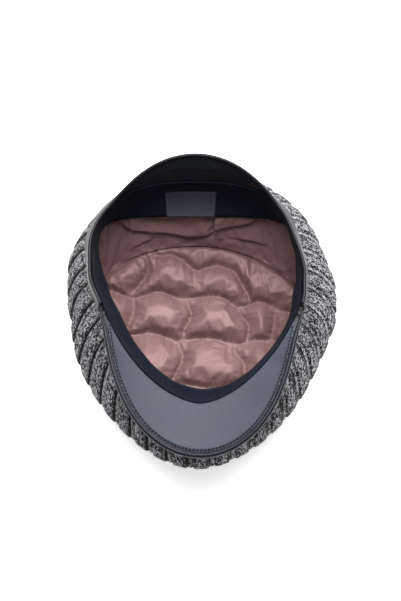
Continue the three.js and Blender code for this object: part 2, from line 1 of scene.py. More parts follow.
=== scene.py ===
"""Dresses the winter cap: knit crown, leather peak and ear flap, sweatband, label and quilted lining.

The cap lies upside down on its crown, with the opening up and the peak towards -Y. The shapes are
worked out in millimetres from the cap's own centre, as its solids are, and placed by placed().
"""
import math

import bmesh
import bpy
import numpy as np
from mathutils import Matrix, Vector, geometry
from mathutils.bvhtree import BVHTree


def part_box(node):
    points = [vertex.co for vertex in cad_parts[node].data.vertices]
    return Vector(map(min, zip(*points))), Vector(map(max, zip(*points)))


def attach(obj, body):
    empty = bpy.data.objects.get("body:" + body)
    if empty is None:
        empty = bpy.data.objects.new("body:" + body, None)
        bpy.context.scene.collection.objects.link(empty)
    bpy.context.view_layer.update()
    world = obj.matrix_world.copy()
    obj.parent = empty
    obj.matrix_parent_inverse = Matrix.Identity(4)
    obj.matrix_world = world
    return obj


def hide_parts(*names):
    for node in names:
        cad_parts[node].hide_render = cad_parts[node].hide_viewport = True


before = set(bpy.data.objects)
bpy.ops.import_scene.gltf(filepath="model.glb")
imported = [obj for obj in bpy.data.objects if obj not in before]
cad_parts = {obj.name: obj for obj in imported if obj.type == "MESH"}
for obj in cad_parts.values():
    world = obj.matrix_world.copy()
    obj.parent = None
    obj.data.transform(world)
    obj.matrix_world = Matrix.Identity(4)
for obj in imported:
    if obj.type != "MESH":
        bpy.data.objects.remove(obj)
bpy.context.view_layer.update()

MM = 0.001

# Sizes of the solids, in millimetres
OPENING_WIDTH = 179
OPENING_FRONT = 94.5
OPENING_BACK = 101
OPENING_MIDDLE = 20
OPENING_CURVES = (1.64, 2.7)  # exponents of an outline's front and back
OPENING_HEIGHT = 95
CROWN_OVERHANG_SIDE = 29.4
CROWN_OVERHANG_FRONT = 43
CROWN_OVERHANG_BACK = 37
CROWN_MIDDLE = 18
CROWN_CURVES = (1.79, 2)
CROWN_SHIFTS = (-1.5, 4.3)
CROWN_SHIFT_SPAN = (-0.5, 0.3)
KNIT_WALL = 2.3
RIB_COUNT = 38
RIB_SWEEP = 0.035
RIB_START_T = 0.06
RIB_FULL_T = 0.22
SOLID_RIB_RISE = 0.8
SWEATBAND_HEIGHT = 38
SWEATBAND_WALL = 1.2
SWEATBAND_PROUD = 0.8
SWEATBAND_LEAN_SIDE = 2.5
SWEATBAND_LEAN_FRONT = 20
SWEATBAND_LEAN_BACK = 17.5
SWEATBAND_MIDDLE = 58
SWEATBAND_SHIFT = 3.5
SWEATBAND_SHIFT_FADE = 14
SWEATBAND_CURVES = (1.88, 3.6)
SWEATBAND_CURL = 3
LABEL_WIDTH = 46
LABEL_HEIGHT = 24
LABEL_WALL = 0.6
LABEL_OFFSET = 4
LINING_WALL = 3
LINING_OVERLAP = 6
LINING_SEAM_HALF_WIDTH = 99
LINING_SEAM_FRONT = 98
LINING_SEAM_BACK = 67
LINING_SEAM_HEIGHT = 25
LINING_TOP_HEIGHT = 13
LINING_DISH_CURVE = 3
PEAK_START = 14
PEAK_REACH = 141.5
PEAK_TIP_INSET = 3.5
PEAK_HALF_WIDTH = OPENING_WIDTH / 2 - PEAK_TIP_INSET
PEAK_TAPER = 0.3
PEAK_OUTLINE_CURVE = 4
PEAK_THICKNESS = 3.2
PEAK_PITCH = 12
PEAK_BEND_RADIUS = 145
PEAK_ROLL_RADIUS = 2.3
PEAK_ROLL_TIP_RADIUS = 1.1
PEAK_ROLL_TAPER = 26
PEAK_ROLL_END = 0.98
PEAK_BOARD_END_WIDTH = 1.5
FLAP_WALL = 1.2
FLAP_EASE = 0.5
FLAP_ROLL = 3.2
FLAP_SIDE_RISE = 4.5
FLAP_BACK_RISE = 19
FLAP_BACK_FLARE = 13.4
FLAP_CRESCENT = 0.135
FLAP_RISE_CURVE = 1.4
FLAP_FLARE_CURVE = 1.5
FLAP_CORNER_LEAN = 3.2
FLAP_CORNER = 0.15
FLAP_CORNER_SPREAD = 0.11
FLAP_HEIGHT = 14
FLAP_BACK_DROP = 6
FLAP_PEAK_GAP = 3
FLAP_HOLLOW_DROP = 0.6
SEAM_GAP = 0.3
SWAY = 5

SWAY_PROFILE = [(-1, 0.3), (-0.5, 0.3), (-0.08, 0.5), (0.1, -0.2), (0.4, -1), (0.7, -0.6), (1, -0.45)]
CROWN_PROFILE = [
    (0, 0, 1), (0.11, 0.01, 1), (0.2, 0.1, 1), (0.29, 0.32, 1), (0.39, 0.63, 1), (0.5, 0.88, 1),
    (0.61, 1, 1), (0.72, 1, 0.985), (0.82, 1, 0.94), (0.91, 1, 0.87), (0.975, 1, 0.79), (1, 1, 0.7),
]
CROWN_SEAM_T = 8 / 11
LINING_PROFILE = [(0, 0), (0.14, 0.02), (0.4, 0.3), (0.7, 0.72), (1, 1)]

NORMAL_STEP = 0.004
TANGENT_STEP = 0.01


# Curves and outlines
def smooth(x):
    t = np.clip(x, 0, 1)
    return t * t * (3 - 2 * t)


def mix(a, b, share):
    return a + (b - a) * share


def unit(vectors):
    return vectors / np.maximum(np.linalg.norm(vectors, axis=-1, keepdims=True), 1e-9)


class Outline:
    """A closed outline, mirrored left to right. at(share) walks it by its length: 0 is the middle of
    the back, 0.25 is on the +X side and 0.5 is the middle of the front."""

    def __init__(self, half):
        self.half = np.array(half, float)
        steps = np.linalg.norm(np.diff(self.half, axis=0), axis=1)
        self.walked = np.concatenate([[0], np.cumsum(steps)])
        self.perimeter = 2 * self.walked[-1]

    def at(self, share):
        turn = np.mod(share, 1)
        left = turn > 0.5
        walked = np.where(left, 1 - turn, turn) * self.perimeter
        x = np.interp(walked, self.walked, self.half[:, 0])
        y = np.interp(walked, self.walked, self.half[:, 1])
        return np.stack([np.where(left, -x, x), y], -1)

    def normal(self, share):
        ahead = unit(self.at(share + NORMAL_STEP) - self.at(share - NORMAL_STEP))
        return np.stack([-ahead[..., 1], ahead[..., 0]], -1)

    def offset(self, share, distance):
        return self.at(share) + self.normal(share) * np.asarray(distance)[..., None]

    def share_at_y(self, y):
        return np.interp(-y, -self.half[:, 1], self.walked) / self.perimeter


def oval(half_width, middle, front, back, curves, steps=720):
    front_curve, back_curve = curves
    angle = np.linspace(0, math.pi, steps + 1)
    behind = angle < math.pi / 2
    power = 2 / np.where(behind, back_curve, front_curve)
    reach = np.where(behind, back - middle, -(front + middle))
    x = half_width * np.abs(np.sin(angle)) ** power
    y = middle + reach * np.abs(np.cos(angle)) ** power
    x[0] = x[-1] = 0
    return Outline(np.stack([x, y], -1))


opening = oval(OPENING_WIDTH / 2, OPENING_MIDDLE, OPENING_FRONT, OPENING_BACK, OPENING_CURVES)
crown_outline = oval(OPENING_WIDTH / 2 + CROWN_OVERHANG_SIDE, CROWN_MIDDLE,
                     OPENING_FRONT + CROWN_OVERHANG_FRONT, OPENING_BACK + CROWN_OVERHANG_BACK, CROWN_CURVES)
sweatband_deep_edge = oval(OPENING_WIDTH / 2 - SWEATBAND_LEAN_SIDE, SWEATBAND_MIDDLE,
                           OPENING_FRONT - SWEATBAND_LEAN_FRONT, OPENING_BACK - SWEATBAND_LEAN_BACK,
                           SWEATBAND_CURVES)
lining_seam = oval(LINING_SEAM_HALF_WIDTH, 0, LINING_SEAM_FRONT, LINING_SEAM_BACK, (2, 2))

peak_corner_share = opening.share_at_y(-PEAK_START)
peak_corner = opening.at(peak_corner_share)


def peak_face(x, y):
    pitched = math.tan(math.radians(PEAK_PITCH)) * (peak_corner[1] - y)
    return OPENING_HEIGHT + pitched + (x * x - peak_corner[0] ** 2) / (2 * PEAK_BEND_RADIUS)


def edge_height(share):
    point = opening.at(share)
    on_peak = point[..., 1] < peak_corner[1]
    return np.where(on_peak, peak_face(point[..., 0], point[..., 1]), OPENING_HEIGHT)


def spline(points, place):
    """One smooth curve through points, which run along the last axis but one. place counts points."""
    points = np.asarray(points, float)
    first = 2 * points[..., :1, :] - points[..., 1:2, :]
    last = 2 * points[..., -1:, :] - points[..., -2:-1, :]
    held = np.concatenate([first, points, last], -2)
    gaps = np.sum(np.diff(held, axis=-2) ** 2, -1, keepdims=True) ** 0.25
    gaps = np.maximum(gaps, 1e-4)
    low = np.clip(np.floor(place).astype(int), 0, points.shape[-2] - 2)
    w = (np.asarray(place, float) - low)[:, None]
    p0, p1, p2, p3 = (np.take(held, low + k, axis=-2) for k in range(4))
    g0, g1, g2 = (np.take(gaps, low + k, axis=-2) for k in range(3))
    out = ((p1 - p0) / g0 - (p2 - p0) / (g0 + g1) + (p2 - p1) / g1) * g1
    back = ((p2 - p1) / g1 - (p3 - p1) / (g1 + g2) + (p3 - p2) / g2) * g1
    return (p1 + out * w + (-3 * p1 + 3 * p2 - 2 * out - back) * w ** 2
            + (2 * p1 - 2 * p2 + out + back) * w ** 3)


def profile_at(profile, t):
    """The rows of a profile table at each t, which runs from 0 at its first row to 1 at its last."""
    return spline(profile, np.clip(t, 0, 1).ravel() * (len(profile) - 1))


def crown_face(share, t):
    share, t = np.broadcast_arrays(np.asarray(share, float), np.asarray(t, float))
    rows = profile_at(CROWN_PROFILE, t)
    drop, out, scale = rows.T.reshape(3, *t.shape)
    band = opening.offset(share, SEAM_GAP + KNIT_WALL)
    centre = np.array([0, CROWN_MIDDLE])
    bulge = crown_outline.at(share + RIB_SWEEP * out * np.sin(2 * math.pi * share))
    bulge = (bulge - centre) * scale[..., None] + centre
    start, end = CROWN_SHIFT_SPAN
    backward = smooth((bulge[..., 1] / OPENING_FRONT - start) / (end - start))
    bulge[..., 0] += mix(*CROWN_SHIFTS, backward)
    plan = mix(band, bulge, out[..., None])
    top = edge_height(share) - PEAK_THICKNESS - SEAM_GAP
    return np.concatenate([plan, np.maximum(0, top * (1 - drop))[..., None]], -1)


def face_normal(face, share, t):
    low, high = np.maximum(0, t - TANGENT_STEP), np.minimum(1, t + TANGENT_STEP)
    around = face(share + NORMAL_STEP, t) - face(share - NORMAL_STEP, t)
    return unit(np.cross(around, face(share, high) - face(share, low)))


def crown_lifted(share, t, lift):
    share, t, lift = np.broadcast_arrays(share, t, lift)
    return crown_face(share, t) + face_normal(crown_face, share, t) * lift[..., None]


def rib_fade(t):
    return smooth((t - RIB_START_T) / (RIB_FULL_T - RIB_START_T))


def deep_edge(share, offset):
    """The sweatband's deep edge, which sits to the right of the opening everywhere but at the back."""
    points = sweatband_deep_edge.offset(share, offset)
    from_back = OPENING_BACK - SWEATBAND_LEAN_BACK - points[..., 1]
    points[..., 0] += SWEATBAND_SHIFT * smooth(from_back / SWEATBAND_SHIFT_FADE)
    return points


def sweatband_face(share, v, offset=0):
    share, v = np.broadcast_arrays(np.asarray(share, float), np.asarray(v, float))
    offset = np.broadcast_to(offset, share.shape)
    edge = opening.offset(share, offset)
    deep = deep_edge(share, SWEATBAND_WALL + offset)
    plan = mix(edge, deep, (np.maximum(v, 0) ** SWEATBAND_CURL)[..., None])
    top = edge_height(share) + SWEATBAND_PROUD
    height = mix(top, OPENING_HEIGHT - SWEATBAND_HEIGHT, v)
    return np.concatenate([plan, height[..., None]], -1)


LINING_START = 1 - LINING_OVERLAP / SWEATBAND_HEIGHT


def lining_side_face(share, t, offset=0):
    """t runs from 0 at the sweatband to 1 at the seam. Below 0 the cloth runs up behind the band."""
    share, t = np.broadcast_arrays(np.asarray(share, float), np.asarray(t, float))
    rows = profile_at(LINING_PROFILE, t)
    drop, out = rows.T.reshape(2, *t.shape)
    deep = deep_edge(share, SWEATBAND_WALL + SEAM_GAP + offset)
    plan = mix(deep, lining_seam.offset(share, offset), out[..., None])
    height = mix(OPENING_HEIGHT - SWEATBAND_HEIGHT - SEAM_GAP, LINING_SEAM_HEIGHT, drop)
    below = np.concatenate([plan, height[..., None]], -1)
    behind = sweatband_face(share, mix(1, LINING_START, np.clip(-t, 0, 1)), SEAM_GAP + offset)
    return np.where((t < 0)[..., None], behind, below)


def sway(y):
    reach = np.where(y < 0, OPENING_FRONT + CROWN_OVERHANG_FRONT, OPENING_BACK + CROWN_OVERHANG_BACK)
    along = np.clip(y / reach, -1, 1)
    places, shifts = np.array(SWAY_PROFILE, float).T
    row = np.clip(np.searchsorted(places, along), 1, len(places) - 1)
    between = smooth((along - places[row - 1]) / (places[row] - places[row - 1]))
    return SWAY * mix(shifts[row - 1], shifts[row], between)


def swayed(points):
    moved = np.array(points, float)
    moved[..., 0] += sway(moved[..., 1])
    return moved


def middle_shift():
    """How far the frame's origin is from the cap's own centre, read from the sweatband's box."""
    share = np.arange(64) / 64
    faces = [sweatband_face(share, v, offset) for v in (0, 1) for offset in (0.0, -SWEATBAND_WALL)]
    own = swayed(np.concatenate(faces))
    low, high = (np.array(corner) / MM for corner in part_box("sweatband"))
    shift = (low + high - own.min(0) - own.max(0)) / 2
    return np.array([shift[0], shift[1], 0])


SHIFT = middle_shift()


def placed(points):
    """Points in the cap's own millimetres, swayed and moved to the frame, in metres."""
    return (swayed(points) + SHIFT) * MM


# Meshes
def make_mesh(name, points, faces, uv=None, material=None, smooth_faces=True):
    """points in metres, faces as lists of rows of one length each, uv for each point."""
    mesh = bpy.data.meshes.new(name)
    groups = [np.asarray(group, np.int32) for group in faces if len(group)]
    corners = np.concatenate([group.ravel() for group in groups])
    sizes = np.concatenate([np.full(len(group), group.shape[1], np.int32) for group in groups])
    mesh.vertices.add(len(points))
    mesh.vertices.foreach_set("co", np.asarray(points, np.float32).ravel())
    mesh.loops.add(len(corners))
    mesh.loops.foreach_set("vertex_index", corners)
    mesh.polygons.add(len(sizes))
    mesh.polygons.foreach_set("loop_start", np.concatenate([[0], np.cumsum(sizes)[:-1]]).astype(np.int32))
    mesh.polygons.foreach_set("loop_total", sizes)
    mesh.polygons.foreach_set("use_smooth", np.full(len(sizes), smooth_faces))
    if uv is not None:
        layer = mesh.uv_layers.new(name="cut")
        layer.data.foreach_set("uv", np.asarray(uv, np.float32)[corners].ravel())
    mesh.update(calc_edges=True)
    mesh.validate()
    if material:
        mesh.materials.append(material)
    piece = bpy.data.objects.new(name, mesh)
    bpy.context.scene.collection.objects.link(piece)
    return piece


def skin(rows, columns, closed_rows=False, closed_columns=True):
    """Quads between rows of points."""
    row = np.arange(rows if closed_rows else rows - 1)
    column = np.arange(columns if closed_columns else columns - 1)
    a, c = np.meshgrid(row, column, indexing="ij")
    up, right = (a + 1) % rows, (c + 1) % columns
    quads = [a * columns + c, a * columns + right, up * columns + right, up * columns + c]
    return np.stack([q.ravel() for q in quads], -1)


def lengths_along(points, axis):
    steps = np.linalg.norm(np.diff(points, axis=axis), axis=-1)
    walked = np.cumsum(steps, axis=axis)
    start = np.zeros_like(np.take(walked, [0], axis=axis))
    return np.concatenate([start, walked], axis=axis)


def outward(piece):
    """Turns a closed piece's faces outwards."""
    mesh = piece.data
    mesh.calc_loop_triangles()
    co = np.empty(len(mesh.vertices) * 3)
    mesh.vertices.foreach_get("co", co)
    co = co.reshape(-1, 3)
    tri = np.empty(len(mesh.loop_triangles) * 3, np.int32)
    mesh.loop_triangles.foreach_get("vertices", tri)
    a, b, c = co[tri.reshape(-1, 3)].transpose(1, 0, 2)
    if (a * np.cross(b, c)).sum() < 0:
        mesh.flip_normals()
    return piece


# Materials
class Nodes:
    """Adds and joins the shader nodes of one tree."""

    def __init__(self, tree):
        self.tree = tree

    def add(self, kind, inputs=None, **settings):
        node = self.tree.nodes.new("ShaderNode" + kind)
        for name, value in settings.items():
            setattr(node, name, value)
        for name, value in (inputs or {}).items():
            self.put(node.inputs[name], value)
        return node

    def put(self, socket, value):
        if isinstance(value, bpy.types.NodeSocket):
            self.tree.links.new(value, socket)
        else:
            socket.default_value = value

    def math(self, operation, a, b=0.0, c=0.0, clamp=False):
        node = self.add("Math", {0: a, 1: b, 2: c}, operation=operation, use_clamp=clamp)
        return node.outputs[0]

    def ramp(self, value, low, high, to_low=0.0, to_high=1.0, smooth_step=True):
        kind = "SMOOTHSTEP" if smooth_step else "LINEAR"
        inputs = {"Value": value, "From Min": low, "From Max": high, "To Min": to_low, "To Max": to_high}
        return self.add("MapRange", inputs, interpolation_type=kind).outputs["Result"]

    def mix(self, share, a, b, blend="MIX"):
        node = self.add("Mix", data_type="RGBA", blend_type=blend)
        self.put(node.inputs["Factor"], share)
        self.put(node.inputs[6], a)
        self.put(node.inputs[7], b)
        return node.outputs[2]

    def group(self, tree, inputs):
        node = self.tree.nodes.new("ShaderNodeGroup")
        node.node_tree = tree
        for name, value in inputs.items():
            self.put(node.inputs[name], value)
        return node


def new_group(name, inputs, outputs):
    """inputs and outputs are {name: kind} or {name: (kind, value)}. Returns the tree, its nodes, its
    input sockets and its output node."""
    tree = bpy.data.node_groups.new(name, "ShaderNodeTree")
    for direction, sockets in (("INPUT", inputs), ("OUTPUT", outputs)):
        for label, given in sockets.items():
            kind, value = given if isinstance(given, tuple) else (given, None)
            socket = tree.interface.new_socket(name=label, in_out=direction, socket_type="NodeSocket" + kind)
            if value is not None:
                socket.default_value = value
    entry = tree.nodes.new("NodeGroupInput")
    end = tree.nodes.new("NodeGroupOutput")
    return tree, Nodes(tree), entry.outputs, end.inputs


def colour(red, green, blue):
    """A colour given on a 0-255 screen scale, in the linear scale that shaders take."""
    parts = np.array([red, green, blue]) / 255
    linear = np.where(parts <= 0.04045, parts / 12.92, ((parts + 0.055) / 1.055) ** 2.4)
    return (*linear.tolist(), 1.0)


def mottling_group():
    """Slow changes of tone and finish, as wear and handling leave them."""
    tree, nodes, given, out = new_group(
        "slow mottling",
        {"Colour": "Color", "Place": "Vector", "Size mm": ("Float", 20.0), "Amount": ("Float", 0.1)},
        {"Colour": "Color", "Mask": "Float"},
    )
    scale = nodes.math("DIVIDE", 1000.0, given["Size mm"])
    noise = nodes.add("TexNoise", {"Vector": given["Place"], "Scale": scale, "Detail": 3.0})
    mask = nodes.ramp(noise.outputs["Fac"], 0.3, 0.7)
    low = nodes.math("SUBTRACT", 1.0, given["Amount"])
    high = nodes.math("ADD", 1.0, given["Amount"])
    tone = nodes.add("MapRange", {"Value": mask, "To Min": low, "To Max": high}).outputs["Result"]
    nodes.put(out["Colour"], nodes.mix(1.0, given["Colour"], tone, blend="MULTIPLY"))
    nodes.put(out["Mask"], mask)
    return tree


def weave_group():
    """A plain weave: Thread is each thread's rounding and Shade darkens the gaps between threads."""
    tree, nodes, given, out = new_group(
        "plain weave",
        {"Cut mm": "Vector", "Thread mm": ("Float", 0.5), "Slub": ("Float", 0.3)},
        {"Height": "Float", "Shade": "Float"},
    )
    pitch = nodes.math("DIVIDE", 1.0, given["Thread mm"])
    scaled = nodes.add("VectorMath", {0: given["Cut mm"], "Scale": pitch}, operation="SCALE").outputs[0]
    along = nodes.add("SeparateXYZ", {0: scaled}).outputs
    rounds = [nodes.math("ABSOLUTE", nodes.math("SINE", nodes.math("MULTIPLY", axis, math.pi)))
              for axis in (along[0], along[1])]
    parity = nodes.math("MODULO", nodes.math("ADD", nodes.math("FLOOR", along[0]),
                                             nodes.math("FLOOR", along[1])), 2.0)
    over = nodes.math("ABSOLUTE", parity)
    height = nodes.math("ADD", nodes.math("MULTIPLY", rounds[0], over),
                        nodes.math("MULTIPLY", rounds[1], nodes.math("SUBTRACT", 1.0, over)))
    slub = nodes.add("TexNoise", {"Vector": scaled, "Scale": 0.35, "Detail": 2.0}).outputs["Fac"]
    uneven = nodes.math("MULTIPLY", nodes.math("SUBTRACT", slub, 0.5), given["Slub"])
    nodes.put(out["Height"], nodes.math("ADD", height, uneven))
    nodes.put(out["Shade"], nodes.math("ADD", nodes.ramp(height, 0.1, 0.8, 0.6, 1.0), uneven))
    return tree


def grain_group():
    """Leather grain: small uneven cells with fine pores."""
    tree, nodes, given, out = new_group(
        "leather grain",
        {"Place": "Vector", "Cell mm": ("Float", 1.0)},
        {"Height": "Float", "Creases": "Float"},
    )
    scale = nodes.math("DIVIDE", 1000.0, given["Cell mm"])
    cells = nodes.add("TexVoronoi", {"Vector": given["Place"], "Scale": scale}, feature="DISTANCE_TO_EDGE")
    creases = nodes.ramp(cells.outputs["Distance"], 0.0, 0.18)
    finer = nodes.math("MULTIPLY", scale, 3.0)
    pores = nodes.add("TexNoise", {"Vector": given["Place"], "Scale": finer, "Detail": 2.0}).outputs["Fac"]
    nodes.put(out["Height"], nodes.math("ADD", creases, nodes.math("MULTIPLY", pores, 0.5)))
    nodes.put(out["Creases"], creases)
    return tree


MOTTLING = mottling_group()
WEAVE = weave_group()
GRAIN = grain_group()


def new_material(name, **finish):
    """A material with a Principled shader. finish holds the shader values that are even all over."""
    material = bpy.data.materials.new(name)
    material.use_nodes = True
    nodes = Nodes(material.node_tree)
    shader = material.node_tree.nodes["Principled BSDF"]
    for label, value in finish.items():
        nodes.put(shader.inputs[label.replace("_", " ")], value)
    return material, nodes, shader


def bump(nodes, shader, height, strength, distance_mm):
    inputs = {"Height": height, "Strength": strength, "Distance": distance_mm * MM}
    nodes.put(shader.inputs["Normal"], nodes.add("Bump", inputs).outputs["Normal"])


def place_of(nodes):
    return nodes.add("TexCoord").outputs["Object"]


def cut_of(nodes):
    return nodes.add("UVMap", uv_map="cut").outputs["UV"]


KNIT_LIGHT = colour(188, 188, 192)
KNIT_MID = colour(74, 74, 78)
KNIT_DARK = colour(5, 5, 6)
WALES = 9  # columns of stitches in one rib and the narrow band beside it
STITCH = 1.4  # height of one stitch, in millimetres
LEG_SLANT = 1.6  # how steeply the two legs of a stitch lean
MID_TONES = (0.28, 0.38)  # tones at which dark yarn turns to mid grey
LIGHT_TONES = (0.56, 0.7)  # tones at which mid grey yarn turns to light
TWIST_SCALE = 1100.0
TWIST_AMOUNT = 0.5
BAND_TONE = 0.12  # how much lighter the narrow band is
BAND_HALF = 0.13  # half of the narrow band's share of a rib's pitch
LINE_HALF = 0.055  # half of a dark line's share of it
DOT_PITCH = 1.4  # in stitches, as the teeth's is
DOT_SHARE = 0.62
TOOTH_PITCH = 1.5
TOOTH_SHARE = 0.5
TOOTH_REACH = 2.4 * LINE_HALF
LINE_DEPTH = 0.9


def rib_knit():
    """Marl rib knit. The cut's x counts ribs, with the narrow band at whole numbers, and its y is in
    millimetres. A dotted line runs on one side of the band and a toothed line on the other."""
    material, nodes, shader = new_material(
        "rib knit", Roughness=0.95, Specular_IOR_Level=0.1, Sheen_Weight=0.08, Sheen_Roughness=0.5)
    cut = nodes.add("SeparateXYZ", {0: cut_of(nodes)}).outputs

    def dashes(pitch, share):
        part = nodes.math("FRACT", nodes.math("DIVIDE", cut[1], pitch * STITCH))
        return nodes.math("LESS_THAN", part, share)

    wale = nodes.math("MULTIPLY", cut[0], float(WALES))
    in_wale = nodes.math("ABSOLUTE", nodes.math("SUBTRACT", nodes.math("FRACT", wale), 0.5))
    slant = nodes.math("MULTIPLY", in_wale, LEG_SLANT)
    course = nodes.math("ADD", nodes.math("DIVIDE", cut[1], STITCH), slant)
    leg = nodes.math("FLOOR", nodes.math("MULTIPLY", wale, 2.0))
    cell = nodes.add("CombineXYZ", {0: leg, 1: nodes.math("FLOOR", course)}).outputs[0]
    tone = nodes.add("TexWhiteNoise", {"Vector": cell}, noise_dimensions="2D").outputs["Value"]
    twist = nodes.add("TexNoise", {"Vector": place_of(nodes), "Scale": TWIST_SCALE, "Detail": 2.0})
    uneven = nodes.math("MULTIPLY", nodes.math("SUBTRACT", twist.outputs["Fac"], 0.5), TWIST_AMOUNT)
    tone = nodes.math("ADD", tone, uneven)

    from_band = nodes.math("PINGPONG", cut[0], 0.5)
    signed = nodes.math("SUBTRACT", nodes.math("FRACT", nodes.math("ADD", cut[0], 0.5)), 0.5)
    on_band = nodes.math("LESS_THAN", from_band, BAND_HALF)
    tone = nodes.math("ADD", tone, nodes.math("MULTIPLY", on_band, BAND_TONE))
    marl = nodes.mix(nodes.ramp(tone, *MID_TONES), KNIT_DARK, KNIT_MID)
    marl = nodes.mix(nodes.ramp(tone, *LIGHT_TONES), marl, KNIT_LIGHT)

    on_line = nodes.math("COMPARE", signed, -BAND_HALF, LINE_HALF)
    dotted = nodes.math("MULTIPLY", on_line, dashes(DOT_PITCH, DOT_SHARE))
    teeth = nodes.math("MULTIPLY", dashes(TOOTH_PITCH, TOOTH_SHARE), TOOTH_REACH)
    tip = nodes.math("ADD", teeth, BAND_HALF + LINE_HALF)
    toothed = nodes.math("MULTIPLY", nodes.math("GREATER_THAN", signed, BAND_HALF - LINE_HALF),
                         nodes.math("LESS_THAN", signed, tip))
    dark = nodes.math("MAXIMUM", dotted, toothed)
    base = nodes.mix(nodes.math("MULTIPLY", dark, 0.96), marl, KNIT_DARK)
    aged = nodes.group(MOTTLING, {"Colour": base, "Place": place_of(nodes), "Size mm": 35.0, "Amount": 0.12})
    nodes.put(shader.inputs["Base Color"], aged.outputs["Colour"])

    rise = nodes.math("ABSOLUTE", nodes.math("SINE", nodes.math("MULTIPLY", course, math.pi)))
    hollow = nodes.ramp(in_wale, 0.36, 0.5, 1.0, 0.0)
    raised = nodes.math("SUBTRACT", 1.0, nodes.math("MULTIPLY", dark, LINE_DEPTH))
    bump(nodes, shader, nodes.math("MULTIPLY", nodes.math("MULTIPLY", rise, hollow), raised), 0.9, 0.9)
    return material


def woven(name, base, thread_mm, roughness, sheen, height_mm=0.12, mottle=0.12):
    material, nodes, shader = new_material(
        name, Roughness=roughness, Specular_IOR_Level=0.08, Sheen_Weight=sheen, Sheen_Roughness=0.45)
    weave = nodes.group(WEAVE, {"Cut mm": cut_of(nodes), "Thread mm": thread_mm, "Slub": 0.3})
    shaded = nodes.mix(1.0, base, weave.outputs["Shade"], blend="MULTIPLY")
    aged = nodes.group(MOTTLING, {"Colour": shaded, "Place": place_of(nodes), "Size mm": 14.0,
                                  "Amount": mottle})
    nodes.put(shader.inputs["Base Color"], aged.outputs["Colour"])
    bump(nodes, shader, weave.outputs["Height"], 0.8, height_mm)
    return material


def satin_cloth():
    material, nodes, shader = new_material(
        "satin", Specular_IOR_Level=0.6, Specular_Tint=colour(240, 205, 204),
        Sheen_Weight=0.08, Sheen_Roughness=0.35, Sheen_Tint=colour(235, 205, 205))
    aged = nodes.group(MOTTLING, {"Colour": colour(112, 86, 85), "Place": place_of(nodes),
                                  "Size mm": 30.0, "Amount": 0.07})
    nodes.put(shader.inputs["Base Color"], aged.outputs["Colour"])
    nodes.put(shader.inputs["Roughness"], nodes.ramp(aged.outputs["Mask"], 0.0, 1.0, 0.41, 0.48))
    weave = nodes.group(WEAVE, {"Cut mm": cut_of(nodes), "Thread mm": 0.45, "Slub": 0.8})
    ripple = nodes.add("TexNoise", {"Vector": place_of(nodes), "Scale": 160.0, "Detail": 3.0}).outputs["Fac"]
    height = nodes.math("ADD", nodes.math("MULTIPLY", weave.outputs["Height"], 0.08), ripple)
    bump(nodes, shader, height, 0.2, 0.5)
    return material


def leather(name, base, roughness, cell_mm, grain_mm, gloss, coat):
    material, nodes, shader = new_material(
        name, Specular_IOR_Level=gloss, Coat_Weight=coat, Coat_Roughness=0.25)
    grain = nodes.group(GRAIN, {"Place": place_of(nodes), "Cell mm": cell_mm})
    aged = nodes.group(MOTTLING, {"Colour": base, "Place": place_of(nodes), "Size mm": 24.0, "Amount": 0.09})
    # painted shade: the base colour is darker in the grain's creases
    crease_shade = nodes.math("ADD", nodes.math("MULTIPLY", grain.outputs["Creases"], 0.25), 0.8)
    nodes.put(shader.inputs["Base Color"], nodes.mix(1.0, aged.outputs["Colour"], crease_shade, blend="MULTIPLY"))
    low, high = roughness
    nodes.put(shader.inputs["Roughness"], nodes.ramp(aged.outputs["Mask"], 0.0, 1.0, low, high))
    bump(nodes, shader, grain.outputs["Height"], 0.5, grain_mm)
    return material


def thread(name, base):
    material, nodes, shader = new_material(name, Roughness=0.7, Specular_IOR_Level=0.2, Sheen_Weight=0.04)
    place = place_of(nodes)
    twist = nodes.add("TexWave", {"Vector": place, "Scale": 600.0, "Distortion": 1.0})
    shade = nodes.ramp(twist.outputs["Fac"], 0.0, 1.0, 0.75, 1.1)
    aged = nodes.group(MOTTLING, {"Colour": base, "Place": place, "Size mm": 6.0, "Amount": 0.15})
    nodes.put(shader.inputs["Base Color"], nodes.mix(1.0, aged.outputs["Colour"], shade, blend="MULTIPLY"))
    return material


KNIT = rib_knit()
BAND_CLOTH = woven("band cloth", colour(17, 22, 36), thread_mm=0.7, roughness=0.9, sheen=0.03)
LABEL_TAPE = woven("label tape", colour(70, 72, 83), thread_mm=0.35, roughness=0.6, sheen=0.05,
                   height_mm=0.06, mottle=0.05)
SATIN = satin_cloth()
PEAK_LEATHER = leather("peak leather", colour(62, 67, 79), (0.42, 0.52), 1.1, 0.05, 0.15, 0.0)
EDGE_LEATHER = leather("edge leather", colour(15, 17, 23), (0.3, 0.38), 0.9, 0.04, 0.2, 0.04)
ROLL_LEATHER = leather("roll leather", colour(19, 23, 32), (0.22, 0.28), 0.9, 0.03, 0.2, 0.03)
SATIN_THREAD = thread("satin thread", colour(112, 80, 74))
DARK_THREAD = thread("dark thread", colour(9, 10, 14))
LABEL_THREAD = thread("label thread", colour(96, 98, 106))


def finished(piece, node):
    """The piece hangs from the root body and stands for its solid, if any, which is hidden."""
    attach(piece, "root")
    if node:
        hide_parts(node)
    return piece


